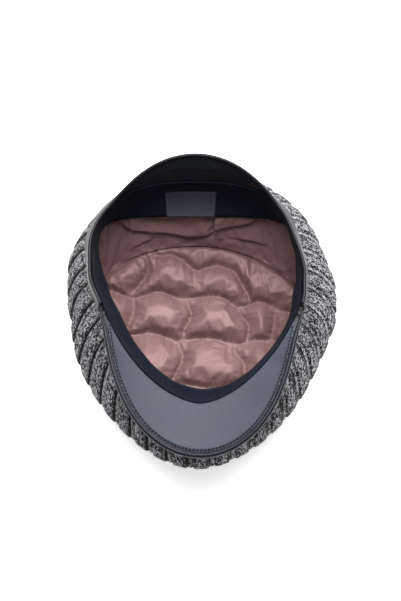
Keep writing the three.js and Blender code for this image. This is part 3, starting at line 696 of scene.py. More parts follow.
def slab(name, front, back, material, uv=None):
    """A closed plate between two grids of points in metres, front and back, of the same shape."""
    rows, columns = front.shape[:2]
    points = np.concatenate([front.reshape(-1, 3), back.reshape(-1, 3)])
    face = skin(rows, columns, closed_columns=False)
    count = rows * columns
    index = np.arange(count).reshape(rows, columns)
    rim = np.concatenate([index[0, :-1], index[:-1, -1], index[-1, :0:-1], index[:0:-1, 0]])
    ahead = np.roll(rim, -1)
    edge = np.stack([ahead, rim, rim + count, ahead + count], -1)
    both = None if uv is None else np.concatenate([uv.reshape(-1, 2)] * 2)
    return outward(make_mesh(name, points, [face, face[:, ::-1] + count, edge], both, material))


def weld(piece):
    """Joins points that lie on each other."""
    work = bmesh.new()
    work.from_mesh(piece.data)
    bmesh.ops.remove_doubles(work, verts=work.verts, dist=0.00001)
    work.to_mesh(piece.data)
    work.free()


def closed_sheet(name, loops, cut_x, cut_y, material):
    """A skin that closes both ways. Its first column is doubled and welded again, so that the cut's x
    doesn't run backwards there: cut_x has one value more than there are columns."""
    rows, columns = loops.shape[:2]
    loops = np.concatenate([loops, loops[:, :1]], 1)
    cut_y = np.broadcast_to(cut_y, (rows, columns))
    cut_y = np.concatenate([cut_y, cut_y[:, :1]], 1)
    uv = np.stack([np.broadcast_to(cut_x, cut_y.shape), cut_y], -1)
    quads = skin(rows, columns + 1, closed_rows=True, closed_columns=False)
    piece = make_mesh(name, placed(loops).reshape(-1, 3), [quads], uv.reshape(-1, 2), material)
    weld(piece)
    return outward(piece)


def tube(name, loops, material):
    """A closed tube through loops of points, one for each row, with flat ends."""
    sections, columns = loops.shape[:2]
    ring = np.arange(columns)[None]
    faces = [skin(sections, columns), ring[:, ::-1], ring + (sections - 1) * columns]
    return outward(make_mesh(name, placed(loops).reshape(-1, 3), faces, None, material))


STITCH_PLACES = np.array([0, 0.12, 0.35, 0.65, 0.88, 1])  # sections of one stitch, along it
STITCH_SWELL = np.array([0.05, 0.7, 1, 1, 0.7, 0.05])
STITCH_SIDES = 6
STITCH_FLATNESS = 0.8


def thread_run(name, runs, material, long_mm, gap_mm, thick_mm):
    """Small raised stitches along each run. A run is its points in metres and the way it faces."""
    swell = STITCH_SWELL * thick_mm / 2 * MM
    turn = np.arange(STITCH_SIDES) * 2 * math.pi / STITCH_SIDES
    points, faces, count = [], [], 0
    ring = skin(len(STITCH_PLACES), STITCH_SIDES)

    def on_path(values, walked, at):
        return np.array([np.interp(at, walked, values[:, axis]) for axis in range(3)])

    for path, facing in runs:
        walked = lengths_along(path, 0)
        for start in np.arange(0, walked[-1] - long_mm * MM, (long_mm + gap_mm) * MM):
            first, last = (on_path(path, walked, at) for at in (start, start + long_mm * MM))
            ahead = unit(last - first)
            side = unit(np.cross(unit(on_path(facing, walked, start)), ahead))
            up = np.cross(ahead, side) * STITCH_FLATNESS
            centre = mix(first, last, STITCH_PLACES[:, None])
            circle = np.cos(turn)[None, :, None] * side + np.sin(turn)[None, :, None] * up
            loops = centre[:, None] + circle * swell[:, None, None]
            points.append(loops.reshape(-1, 3))
            faces.append(ring + count)
            count += loops.size // 3
    return make_mesh(name, np.concatenate(points), [np.concatenate(faces)], None, material)


# Knit crown
RIB_SAMPLES = 16
CROWN_ROWS = 96
CROWN_INNER_ROWS = 8
RIB_RISE = 1.5
RIB_RISE_UNDER_FLAP = 0.6
RIB_BAND_RISE = 0.4  # the narrow band's rise, as a share of the wide rib's
RIB_TURN = -0.004  # share of the way round that the ribs turn to the left on their way down
RIB_SPREAD = 0.02  # share that they turn back towards the sides
FLAP_COVER_T = (0.25, 0.1)  # where the ribs come out from under the flap, and over how much
SEAM_GATHER = 0.8  # how much of the ribs' rise is lost at the seam
SEAM_GATHER_T = 0.05
WOBBLE = np.random.default_rng(7).uniform(-1, 1, (6, 3))
WOBBLE_RISE = 0.6


def wobble(share, t):
    """Slow unevenness of the soft crown, from -1 to 1."""
    waves = [np.sin(2 * math.pi * ((k + 2) * share + a) + (2 + 3 * b) * t) * c
             for k, (a, b, c) in enumerate(WOBBLE)]
    return sum(waves) / 2


def from_band(ribs):
    """How far a place is from the nearest narrow band's middle, in shares of a rib's pitch."""
    return np.abs(np.mod(ribs, 1) - 0.5)


def rib_rise(gap):
    """The rise of the knit, from 0 in a line beside the narrow band to 1 on the wide rib."""
    wide = smooth((gap - BAND_HALF + 0.01) / 0.09)
    return wide + RIB_BAND_RISE * smooth((BAND_HALF - LINE_HALF - gap) / 0.05)


def make_crown_side():
    columns = RIB_COUNT * RIB_SAMPLES
    share = np.arange(columns) / columns
    t = np.linspace(0, CROWN_SEAM_T, CROWN_ROWS)[:, None]
    out = profile_at(CROWN_PROFILE, t)[:, 1:2]
    turned = share[None] + out * (RIB_TURN - RIB_SPREAD * np.sin(2 * math.pi * share))
    gather = 1 - SEAM_GATHER * smooth((t - CROWN_SEAM_T + SEAM_GATHER_T) / SEAM_GATHER_T)
    cover_t, cover_fade = FLAP_COVER_T
    clear = smooth((t - cover_t) / cover_fade)
    ribs = rib_rise(from_band(share * RIB_COUNT))[None]
    lift = ribs * rib_fade(t) * gather * mix(RIB_RISE_UNDER_FLAP, RIB_RISE, clear)
    lift = lift + WOBBLE_RISE * wobble(share[None], t) * clear * gather
    outer = crown_lifted(turned, t, lift)
    t_in = np.linspace(CROWN_SEAM_T, 0, CROWN_INNER_ROWS)[:, None]
    inner = crown_lifted(share[None], t_in, np.full((CROWN_INNER_ROWS, columns), -KNIT_WALL))
    depth = lengths_along(outer, 0)
    depth = np.concatenate([depth, np.repeat(depth[-1:], CROWN_INNER_ROWS, 0)])
    count = np.append(share, share[0] + 1) * RIB_COUNT + 0.5
    piece = closed_sheet("crown_side_knit", np.concatenate([outer, inner]), count, depth, KNIT)
    return finished(piece, "crown_side")


CROWN_TOP_COLUMNS = 360
CROWN_TOP_CURVED_ROWS = 20
CROWN_TOP_FLAT_ROWS = 25
CROWN_TOP_GAP_T = 0.003
CROWN_TOP_INNER_STEP = 6  # each such outer row has an inner one
TOP_RIB_PITCH = 15.6
TOP_GROOVE = 0.8
TOP_GROOVE_ROWS = 4  # rows over which the grooves deepen from the seam


def make_crown_top():
    columns = CROWN_TOP_COLUMNS
    share = np.arange(columns) / columns
    t = np.linspace(CROWN_SEAM_T + CROWN_TOP_GAP_T, 1, CROWN_TOP_CURVED_ROWS)[:, None]
    curved = crown_face(share[None], t)
    reach = np.linspace(1, 0.03, CROWN_TOP_FLAT_ROWS + 1)[1:, None, None]
    centre = np.array([0, CROWN_MIDDLE, 0])
    flat = (curved[-1:] - centre) * reach + centre
    face = np.concatenate([curved, flat])
    facing = np.concatenate([face_normal(crown_face, share[None], t),
                             np.broadcast_to([0, 0, -1.0], flat.shape)])
    fade = np.minimum(1, np.arange(len(face)) / TOP_GROOVE_ROWS)[:, None]
    groove = TOP_GROOVE * (1 - rib_rise(from_band(face[..., 0] / TOP_RIB_PITCH))) * fade
    outer = face - facing * groove[..., None]
    outer[..., 2] = np.maximum(outer[..., 2], 0)
    inner = (face - facing * KNIT_WALL)[::-CROWN_TOP_INNER_STEP]
    loops = np.concatenate([outer, inner])

    # the skin is left open between the two middles, and each middle is closed by a fan
    last = (len(outer) - 1) * columns
    quads = skin(len(loops), columns, closed_rows=True)
    quads = quads[(quads[:, 0] < last) | (quads[:, 0] >= last + columns)]
    ring_out = np.arange(columns) + last
    ring_in = ring_out + columns
    tip = np.full(columns, len(loops) * columns)
    fans = [np.stack([ring_out, np.roll(ring_out, -1), tip], -1),
            np.stack([np.roll(ring_in, -1), ring_in, tip + 1], -1)]
    points = np.concatenate([loops.reshape(-1, 3), outer[-1:].mean(1), inner[:1].mean(1)])
    uv = np.stack([points[:, 0] / TOP_RIB_PITCH + 0.5, points[:, 1]], -1)
    piece = make_mesh("crown_top_knit", placed(points), [quads, np.concatenate(fans)], uv, KNIT)
    return finished(outward(piece), "crown_top")


# Sweatband and label
SWEATBAND_COLUMNS = 400
BACK_SEAM = -LABEL_OFFSET / opening.perimeter
SEAM_STEPS = np.array([-0.0016, -0.0008, -0.0003, 0, 0.0004, 0.0009, 0.0016])  # finer columns at the seam
SEAM_CLEAR = 0.0022
SEAM_DITCH = 0.45
SEAM_DITCH_WIDTH = 0.7
OUTER_ROWS, FOLD_ROWS, INNER_ROWS = 7, 8, 19
BAND_RIPPLES = [(0.25, 9, 0.2), (0.18, 23, 0.6)]  # rise, count round the band and start
BAND_STITCH_DROP = 2.6
BAND_STITCH_DITCH = 0.25


def make_sweatband():
    share = np.arange(SWEATBAND_COLUMNS) / SWEATBAND_COLUMNS
    near = np.abs(share - (BACK_SEAM + 1)) < SEAM_CLEAR
    share = np.sort(np.concatenate([share[~near], BACK_SEAM + SEAM_STEPS + 1]))
    fold = SWEATBAND_WALL / 2
    fold_v = fold / SWEATBAND_HEIGHT
    turn = np.linspace(0, math.pi, FOLD_ROWS)
    outer_v = np.linspace(1, fold_v, OUTER_ROWS + 1)[:-1]
    inner_v = np.linspace(fold_v, 1, INNER_ROWS + 1)[1:]
    v = np.concatenate([outer_v, (fold - fold * np.sin(turn)) / SWEATBAND_HEIGHT, inner_v])
    offset = np.concatenate([np.zeros(OUTER_ROWS), -fold + fold * np.cos(turn),
                             np.full(INNER_ROWS, -SWEATBAND_WALL)])
    ripple = sum(rise * np.sin(2 * math.pi * (count * share + start)) for rise, count, start in BAND_RIPPLES)
    top = np.clip(1 - v * 4, 0, 1)[:, None]
    inside = (offset < -fold)[:, None] * smooth(v * 12)[:, None]
    ditch = np.exp(-((share - BACK_SEAM - 1) * opening.perimeter / SEAM_DITCH_WIDTH) ** 2)
    lift = inside * (ripple * 0.8 + SEAM_DITCH * ditch)
    stitched = np.exp(-((v * SWEATBAND_HEIGHT - BAND_STITCH_DROP) / 0.5) ** 2)[:, None]
    stitched = BAND_STITCH_DITCH * stitched * inside
    loops = sweatband_face(share[None], v[:, None], offset[:, None] + lift + stitched)
    loops[..., 2] += top * (ripple * 0.5)
    across = np.append(share, share[0] + 1) * opening.perimeter
    down = lengths_along(loops[:, 0], 0)[:, None]
    piece = closed_sheet("sweatband_cloth", loops, across, down, BAND_CLOTH)
    return finished(piece, "sweatband")


LABEL_ROWS, LABEL_COLUMNS = 26, 49
LABEL_FOLD = 3.4  # width of the turned-in ends
LABEL_FOLD_RISE = 0.22
LABEL_SLACK = 0.5  # how far the tape stands off the band
LABEL_SLACK_DEPTH = 17
LABEL_ROUNDING = 0.3
LABEL_STITCH_INSET = 1.7


def label_span():
    height = np.linalg.norm(sweatband_face(0.0, 0.0) - sweatband_face(0.0, 1.0))
    return 1 - LABEL_HEIGHT / height, 1.0


def make_label():
    v_top, v_end = label_span()
    half = LABEL_WIDTH / 2 / opening.perimeter
    v = np.linspace(v_top, v_end, LABEL_ROWS)[:, None]
    across = np.linspace(-1, 1, LABEL_COLUMNS)[None]
    share = BACK_SEAM + half * across
    from_end = (1 - np.abs(across)) * LABEL_WIDTH / 2
    from_top = (v - v_top) / (v_end - v_top) * LABEL_HEIGHT
    fold = LABEL_FOLD_RISE * smooth((LABEL_FOLD - from_end) / 0.5)
    rounded = np.sqrt(np.clip(np.minimum(from_end, from_top) / LABEL_ROUNDING, 0, 1))
    sag = np.sin(math.pi * np.clip(from_top / LABEL_SLACK_DEPTH, 0, 1))
    slack = LABEL_SLACK * sag * np.cos(across * 1.3)
    back = SWEATBAND_WALL + 0.1 + 0 * v * across
    front = back + (LABEL_WALL * 0.6 + fold + slack) * (0.35 + 0.65 * rounded)
    faces = [placed(sweatband_face(share + 0 * v, v + 0 * share, -depth)) for depth in (front, back)]
    uv = np.stack(np.broadcast_arrays(across * LABEL_WIDTH / 2, from_top), -1)
    piece = finished(slab("label_tape", *faces, LABEL_TAPE, uv), "label")
    runs = []
    for side in (-1, 1):
        place = np.full(40, BACK_SEAM + side * half * (1 - LABEL_STITCH_INSET / (LABEL_WIDTH / 2)))
        down = np.linspace(v_top + 0.03, v_end - 0.02, 40)
        path = sweatband_face(place, down, -(SWEATBAND_WALL + 1.0))
        inward = path - sweatband_face(place, down, 0.0)
        runs.append((placed(path), unit(inward)))
    stitches = thread_run("label_stitches", runs, LABEL_THREAD, long_mm=1.3, gap_mm=0.7, thick_mm=0.35)
    finished(stitches, None)
    return piece


def make_band_stitches():
    """A row of stitches near the band's folded edge."""
    share = np.linspace(0, 1, 900)
    v = BAND_STITCH_DROP / SWEATBAND_HEIGHT
    path = sweatband_face(share, v + 0 * share, -(SWEATBAND_WALL + 0.02))
    facing = -np.concatenate([opening.normal(share), np.zeros((len(share), 1))], -1)
    piece = thread_run("sweatband_stitches", [(placed(path), facing)], DARK_THREAD,
                       long_mm=2.2, gap_mm=1.0, thick_mm=0.35)
    return finished(piece, None)


# Leather peak
def peak_outline():
    forward = np.sin(math.pi / 2 * np.linspace(0, 1, 201))
    narrowing = (1 - PEAK_TAPER * forward) * np.sqrt(np.maximum(0, 1 - forward ** PEAK_OUTLINE_CURVE))
    y = -PEAK_START - (PEAK_REACH - PEAK_START) * forward
    return Outline(np.stack([PEAK_HALF_WIDTH * narrowing, y], -1))


peak_edge = peak_outline()
PEAK_INSET = 2 * PEAK_ROLL_RADIUS + SEAM_GAP


def peak_edge_point(along, inset):
    return peak_edge.offset(0.5 - along / 2, -inset)


def peak_board_end():
    """How far round its edge the board reaches before it is too narrow."""
    low, high = 0.0, PEAK_ROLL_END
    for _ in range(40):
        along = (low + high) / 2
        edge = peak_edge_point(np.array(along), PEAK_INSET)
        width = edge[0] - opening.offset(opening.share_at_y(edge[1]), SEAM_GAP)[0]
        low, high = (along, high) if width > PEAK_BOARD_END_WIDTH else (low, along)
    return low


BOARD_COLUMNS = 220
BOARD_ROWS = 26
BOARD_ROUNDING = 1.3
BOARD_RELIEF = [(0.3, 3.2, 0.7), (-0.6, 1.4, 0.6)]  # rise, distance from the edge and width
BOARD_SAG = 0.5
PEAK_STITCH_INSET = 1.3
PEAK_STITCH_DROP = 0.4
BOARD_EDGE_STEPS = np.array([9, 6.5, 4.8, 3.8, 3.1, 2.6, 2.2, 1.8, 1.4, 1.1, 0.8, 0.5, 0.3, 0.12, 0])


def make_peak():
    end = peak_board_end()
    across = np.linspace(-1, 1, BOARD_COLUMNS)[None]
    edge = peak_edge_point(end * across, PEAK_INSET)
    end_share = opening.share_at_y(peak_edge_point(np.array(end), PEAK_INSET)[1])
    root = opening.offset(0.5 - across * (0.5 - end_share), SEAM_GAP)
    width = np.linalg.norm(root - edge, axis=-1)
    inner = np.linspace(1, 0.2, BOARD_ROWS)[:, None] * width
    outer = np.minimum(BOARD_EDGE_STEPS[:, None], 0.19 * width)
    from_edge = np.concatenate([inner, outer])
    plan = edge + (root - edge) * (from_edge / width)[..., None]
    edge_gap = np.maximum(0, BOARD_ROUNDING - from_edge)
    rounding = BOARD_ROUNDING - np.sqrt(np.maximum(0, BOARD_ROUNDING ** 2 - edge_gap ** 2))
    bead = sum(rise * np.exp(-((from_edge - place) / wide) ** 2) for rise, place, wide in BOARD_RELIEF)
    bead = bead * smooth(width / 12)
    sag = np.sin(plan[..., 0] / 23 + 0.6) * np.sin(plan[..., 1] / 17) * smooth(from_edge / 14)
    top = peak_face(plan[..., 0], plan[..., 1])
    front = np.concatenate([plan, (top + bead - rounding + BOARD_SAG * sag)[..., None]], -1)
    back = np.concatenate([plan, (top - PEAK_THICKNESS + rounding)[..., None]], -1)
    piece = slab("peak_board", placed(front), placed(back), PEAK_LEATHER)
    return finished(piece, "peak")


def make_peak_stitches():
    """A row of stitches in the groove beside the peak's rolled edge."""
    reach = peak_board_end() - 0.02
    along = np.linspace(-reach, reach, 600)
    plan = peak_edge_point(along, PEAK_INSET + PEAK_STITCH_INSET)
    path = np.concatenate([plan, peak_face(plan[:, :1], plan[:, 1:]) - PEAK_STITCH_DROP], -1)
    facing = np.broadcast_to([0.0, 0.0, 1.0], path.shape)
    piece = thread_run("peak_stitches", [(placed(path), facing)], DARK_THREAD,
                       long_mm=2.6, gap_mm=0.5, thick_mm=1.9)
    return finished(piece, None)


def roll_radius(along):
    from_tip = (PEAK_ROLL_END - np.abs(along)) * peak_edge.perimeter / 2
    return mix(PEAK_ROLL_TIP_RADIUS, PEAK_ROLL_RADIUS, smooth(from_tip / PEAK_ROLL_TAPER))


ROLL_SECTIONS, ROLL_SIDES = 320, 28
ROLL_TIP_ROUNDING = 1.2
ROLL_GROOVE = 0.3  # share of the roll's radius
ROLL_GROOVE_TURN = 0.72 * math.pi


def make_peak_edge():
    along = np.linspace(-PEAK_ROLL_END, PEAK_ROLL_END, ROLL_SECTIONS)
    from_tip = (PEAK_ROLL_END - np.abs(along)) * peak_edge.perimeter / 2
    round_off = np.sqrt(np.clip(from_tip / ROLL_TIP_ROUNDING, 0.02, 1))
    radius = roll_radius(along) * round_off
    turn = np.linspace(0, 2 * math.pi, ROLL_SIDES, endpoint=False)[:, None]
    groove = ROLL_GROOVE * np.exp(-((turn - ROLL_GROOVE_TURN) / 0.2) ** 2)
    reach = radius * (1 - groove * smooth(radius / PEAK_ROLL_RADIUS))
    full = roll_radius(along)
    plan = peak_edge_point(along[None] + 0 * turn, full - reach * np.cos(turn))
    centre = peak_edge_point(along, full)
    height = peak_face(centre[:, 0], centre[:, 1]) - PEAK_THICKNESS / 2
    height = height + reach * np.sin(turn)
    loops = np.concatenate([plan, height[..., None]], -1).transpose(1, 0, 2)
    return finished(tube("peak_roll", loops, ROLL_LEATHER), "peak_edge")


# Leather ear flap
def flap_crescent(share):
    reach = np.minimum(1, np.abs(share) / FLAP_CRESCENT)
    return np.maximum(0, np.cos(math.pi / 2 * reach)) ** FLAP_RISE_CURVE


def flap_lean(share):
    reach = np.minimum(1, np.abs(np.abs(share) - FLAP_CORNER) / FLAP_CORNER_SPREAD)
    return FLAP_CORNER_LEAN * np.maximum(0, np.cos(math.pi / 2 * reach)) ** 2


def flap_free_t(crescent):
    top = OPENING_HEIGHT - PEAK_THICKNESS - SEAM_GAP
    t = np.linspace(0, CROWN_SEAM_T, 400)
    heights = top * (1 - profile_at(CROWN_PROFILE, t)[:, 0])
    free = OPENING_HEIGHT - FLAP_HEIGHT - FLAP_BACK_DROP * crescent
    return np.interp(-free, -heights, t)


FLAP_COLUMNS = 320
FLAP_BULGE_HALF = 0.043  # half of the bulge's share of the way round
FLAP_BULGE = 0.7
FLAP_CREASE = 0.2
FLAP_GROOVE = 0.7
FLAP_GROOVE_ROW = 3
# rows of skin that follow each row of the section, where they aren't 3
FLAP_FINER = {1: 3, 2: 8, 3: 6, 11: 4, 12: 4, 13: 6, 14: 6, 15: 4}


def flap_rows(share):
    """Points of the flap's section for each share: from the seam up the inside, over the rolled rim,
    down the outside to the free edge, and back up between the flap and the crown."""
    crescent = flap_crescent(share)
    free_t = flap_free_t(crescent)
    rim_z = OPENING_HEIGHT + FLAP_SIDE_RISE + FLAP_BACK_RISE * crescent
    rim_out = FLAP_ROLL + FLAP_BACK_FLARE * crescent ** FLAP_FLARE_CURVE - flap_lean(share)
    root_z = OPENING_HEIGHT - PEAK_THICKNESS
    over_band = OPENING_HEIGHT + SWEATBAND_PROUD + SEAM_GAP
    radius = FLAP_ROLL / 2

    def at(out, z):
        plan = opening.offset(share, out)
        return np.concatenate([plan, np.broadcast_to(z, share.shape)[..., None]], -1)

    def on_crown(t, extra):
        return crown_lifted(share, t, SOLID_RIB_RISE * rib_fade(t) + FLAP_EASE + extra)

    roll = []
    for turn in np.radians([200, 165, 130, 95, 60, 25, -10]):
        roll.append(at(rim_out - radius + radius * np.cos(turn), rim_z - radius + radius * np.sin(turn)))
    below_roll = at(rim_out - FLAP_ROLL * 0.93, rim_z - FLAP_ROLL * 1.1)
    inside = at(mix(SEAM_GAP, rim_out - FLAP_ROLL, 0.45), mix(over_band, rim_z - FLAP_ROLL, 0.5))
    front = [at(SEAM_GAP, root_z), at(SEAM_GAP, over_band), inside, below_roll, *roll]
    top_out = on_crown(0 * share, FLAP_WALL)
    outside = [mix(roll[-1], top_out, 0.5), top_out, on_crown(free_t * 0.35, FLAP_WALL),
               on_crown(free_t * 0.7, FLAP_WALL), on_crown(free_t * 0.96, FLAP_WALL * 1.05)]
    hem = [on_crown(free_t, FLAP_WALL * 0.5)]
    under = [on_crown(free_t * 0.96, 0.0), on_crown(free_t * 0.6, 0.0), on_crown(0 * share, 0.0)]
    hollow_out = np.maximum(rim_out - radius, SEAM_GAP + FLAP_WALL)
    leaned_in = hollow_out - (rim_out - radius)
    hollow = [at(hollow_out, rim_z - FLAP_ROLL - FLAP_HOLLOW_DROP * leaned_in),
              at(SEAM_GAP + FLAP_WALL, root_z)]
    return np.stack([*front, *outside, *hem, *under, *hollow], -2)


def make_ear_flap():
    end = opening.share_at_y(-PEAK_START + FLAP_PEAK_GAP)
    share = np.linspace(-end, end, FLAP_COLUMNS)
    rows = flap_rows(share)
    knots = rows.shape[-2]
    counts = [FLAP_FINER.get(k, 3) for k in range(knots - 1)]
    place = np.concatenate([k + np.arange(count) / count for k, count in enumerate(counts)])
    place = np.append(place, knots - 1)
    points = spline(rows, place)
    # the inside face: a soft bulge at the back, and a stitched groove below the roll
    out = np.concatenate([opening.normal(share), np.zeros((len(share), 1))], -1)[:, None]
    inside = np.clip(place - 1.0, 0, 2.2) / 2.2
    lens = np.clip(1 - (share[:, None] / FLAP_BULGE_HALF) ** 2, 0, 1) ** 0.7
    across = (inside[None] - 0.6) / (0.27 * np.maximum(lens, 0.05))
    bulge = FLAP_BULGE * lens * np.where(np.abs(across) < 1, np.cos(across * math.pi / 2) ** 2, 0)
    creases = FLAP_CREASE * lens * np.exp(-((np.abs(across) - 1.05) / 0.28) ** 2)
    groove = FLAP_GROOVE * np.exp(-((place - FLAP_GROOVE_ROW) / 0.14) ** 2)[None]
    points = points - out * (bulge - creases - groove)[..., None] * (place < 4)[None, :, None]
    return finished(tube("ear_flap_leather", points, EDGE_LEATHER), "ear_flap")


# Lining. The stitched lines are in the cap's own plan, swayed as they lie.
SEAM_SCALLOPS = [  # the first runs down at the left like a cross line, and the others across
    [(-48, 59), (-46, 47), (-52, 35), (-61, 25)],
    [(-44, 62), (-36, 60), (-24, 60), (-14, 56), (-5, 48), (-1, 47)],
    [(-1, 47), (6, 49), (17, 51), (27, 48), (34, 44), (40, 33), (45, 25), (46, 19)],
]
QUILT_ROWS = [
    [(-96, 30), (-78, 26), (-61, 21), (-49, 23), (-37, 27), (-28, 25), (-21, 22), (-12, 21), (-1, 22),
     (10, 23), (21, 22), (35, 13), (44, 14), (54, 17), (61, 15), (72, 9), (94, 2)],
    [(-94, -22), (-66, -15), (-55, -14), (-45, -12), (-35, -14), (-26, -17), (-20, -19), (-10, -18),
     (3, -17), (16, -18), (31, -22), (40, -22), (51, -19), (62, -20), (94, -26)],
    [(-88, -64), (-60, -58), (-40, -62), (-15, -60), (12, -64), (36, -61), (60, -65), (86, -60)],
]
CROSS_STITCHES = [
    [(-61, 21), (-59, 13), (-60, 4), (-67, -13)],
    [(-13, 21), (-9, 12), (-7, 4), (-12, -7), (-14, -17)],
    [(35, 13), (39, 4), (45, -6), (43, -20)],
    [(-20, -19), (-16, -28), (-15, -37), (-20, -50), (-27, -61)],
    [(31, -22), (33, -31), (40, -41), (40, -60)],
    [(70, 9), (68, -5), (66, -18)],
]
SEAM_SCALLOP_ENDS = (-44, 46)  # the scallops' line bounds the first row between these
LINING_GRID = 2.2
PUFF_RISE = 9.5
PUFF_TOP = 0.64  # where a puff is highest, as a share from its row's back to its front
PUFF_ROW = 38  # rows shallower than this swell less
CROSS_DIP = 0.35  # what is left of a puff's height beside a cross line
CROSS_REACH = 15
STITCH_REACH = 1.6  # how far from a stitched line the cloth is held down
ROW_PUCKERS = (0.24, 7, [(6.3, 0), (9.7, 2), (15.5, 4)])  # rise, reach and each wave's length and start
CROSS_PUCKERS = (0.2, 6, [(5.1, 1), (8.3, 3)])


def resampled(path, step):
    path = np.asarray(path, float)
    curve = spline(path, np.linspace(0, len(path) - 1, 24 * len(path)))
    walked = lengths_along(curve, 0)
    at = np.linspace(0, walked[-1], max(2, int(walked[-1] / step) + 1))
    return np.stack([np.interp(at, walked, curve[:, axis]) for axis in range(curve.shape[1])], -1)


def unswayed(points):
    """Plan points without the cap's sway."""
    own = np.array(points, float)
    own[:, 0] -= sway(own[:, 1])
    return own


def quilt_lines(tables):
    """The stitched lines, cut off at the top lining's edge."""
    lines = [unswayed(resampled(line, 2.0)) for line in tables]
    inside = [line[lining_reach(line) < 0.985] for line in lines]
    return [line for line in inside if len(line) > 1]


def lining_reach(plan):
    """0 in the middle of the top lining and 1 at its edge."""
    y_reach = np.where(plan[..., 1] < 0, LINING_SEAM_FRONT, LINING_SEAM_BACK) + LINING_WALL
    return np.hypot(plan[..., 0] / (LINING_SEAM_HALF_WIDTH + LINING_WALL), plan[..., 1] / y_reach)


def row_place(plan):
    """Where each point lies in its row of the quilting, as a share from the row's back to its front,
    and how deep the row is there."""
    x, y = plan[:, 0] + sway(plan[:, 1]), plan[:, 1]
    half = np.sqrt(np.clip(1 - (x / (LINING_SEAM_HALF_WIDTH + LINING_WALL)) ** 2, 0, 1))
    back, front = (LINING_SEAM_BACK + LINING_WALL) * half, -(LINING_SEAM_FRONT + LINING_WALL) * half
    scallops = np.array(sorted(SEAM_SCALLOPS[1] + SEAM_SCALLOPS[2][1:]), float)
    start, end = SEAM_SCALLOP_ENDS
    first = np.where((x > start) & (x < end), np.interp(x, scallops[:, 0], scallops[:, 1]), back)
    rows = [np.interp(x, *np.array(row, float).T) for row in QUILT_ROWS]
    bounds = np.stack([back, *(np.clip(line, front, back) for line in (first, *rows)), front])
    row = np.clip((y[None] < bounds).sum(0) - 1, 0, len(bounds) - 2)
    picked = np.arange(len(x))
    depth = np.maximum(bounds[row, picked] - bounds[row + 1, picked], 0.5)
    return np.clip((bounds[row, picked] - y) / depth, 0, 1), depth


def puckers(plan, row_gap, cross_gap):
    """Fine gathers that run away from the stitched lines, fading with the distance from them."""
    x, y = plan.T
    drift = 1.3 * np.sin(x / 21 + y / 13) + 0.9 * np.sin(y / 9 - x / 34)
    total = 0
    for along, gap, (rise, reach, waves) in ((x, row_gap, ROW_PUCKERS), (y, cross_gap, CROSS_PUCKERS)):
        wave = sum(np.sin(2 * math.pi * along / length + drift + start) for length, start in waves)
        total = total + rise * wave * np.exp(-gap / reach)
    return total


def puff(plan, row_gap, cross_gap):
    """The height of the quilting over its stitched lines: each cell rises slowly from the back of its
    row and drops steeply at the front."""
    down, depth = row_place(plan)
    rising = np.sin(math.pi / 2 * np.clip(down / PUFF_TOP, 0, 1)) ** 0.9
    falling = np.sqrt(np.clip(1 - ((down - PUFF_TOP) / (1 - PUFF_TOP)) ** 2, 0, 1))
    belly = np.where(down < PUFF_TOP, rising, falling)
    across = mix(CROSS_DIP, 1, smooth(cross_gap / CROSS_REACH) ** 0.7)
    across = across * (1 - np.exp(-(cross_gap / 2) ** 2))
    swollen = PUFF_RISE * np.minimum(1, depth / PUFF_ROW) ** 0.8 * belly * across
    swollen = swollen + puckers(plan, row_gap, cross_gap)
    return swollen * (1 - np.exp(-(row_gap / STITCH_REACH) ** 2))


def distance_to(points, targets):
    gap = np.full(len(points), 1e9)
    for block in np.array_split(np.asarray(targets), max(1, len(targets) // 200)):
        gap = np.minimum(gap, np.linalg.norm(points[:, None] - block[None], axis=-1).min(1))
    return gap


def quilted_plan(lines):
    """The top lining cut into small triangles whose edges follow the stitched lines."""
    share = np.arange(300) / 300
    rim = lining_seam.offset(share, LINING_WALL)
    stitched = np.concatenate(lines)
    across = np.arange(-104, 104, LINING_GRID)
    down = np.arange(-104, 74, LINING_GRID * 0.866)
    x, y = np.meshgrid(across, down)
    x[1::2] += LINING_GRID / 2
    grid = np.stack([x.ravel(), y.ravel()], -1)
    grid += np.random.default_rng(3).uniform(-0.25, 0.25, grid.shape)
    grid = grid[lining_reach(grid) < 0.982]
    grid = grid[distance_to(grid, stitched) > 0.6 * LINING_GRID]
    points = np.concatenate([rim, stitched, grid])
    edges = [(i, (i + 1) % len(rim)) for i in range(len(rim))]
    start = len(rim)
    for line in lines:
        edges += [(start + i, start + i + 1) for i in range(len(line) - 1)]
        start += len(line)
    found = geometry.delaunay_2d_cdt([Vector(p) for p in points], edges, [], 0, 1e-5)
    return np.array([list(v) for v in found[0]]), np.array(found[2])


SWELL_FRAMES = 22
CLOTH_STIFFNESS = 12.0
CLOTH_BENDING = 0.4


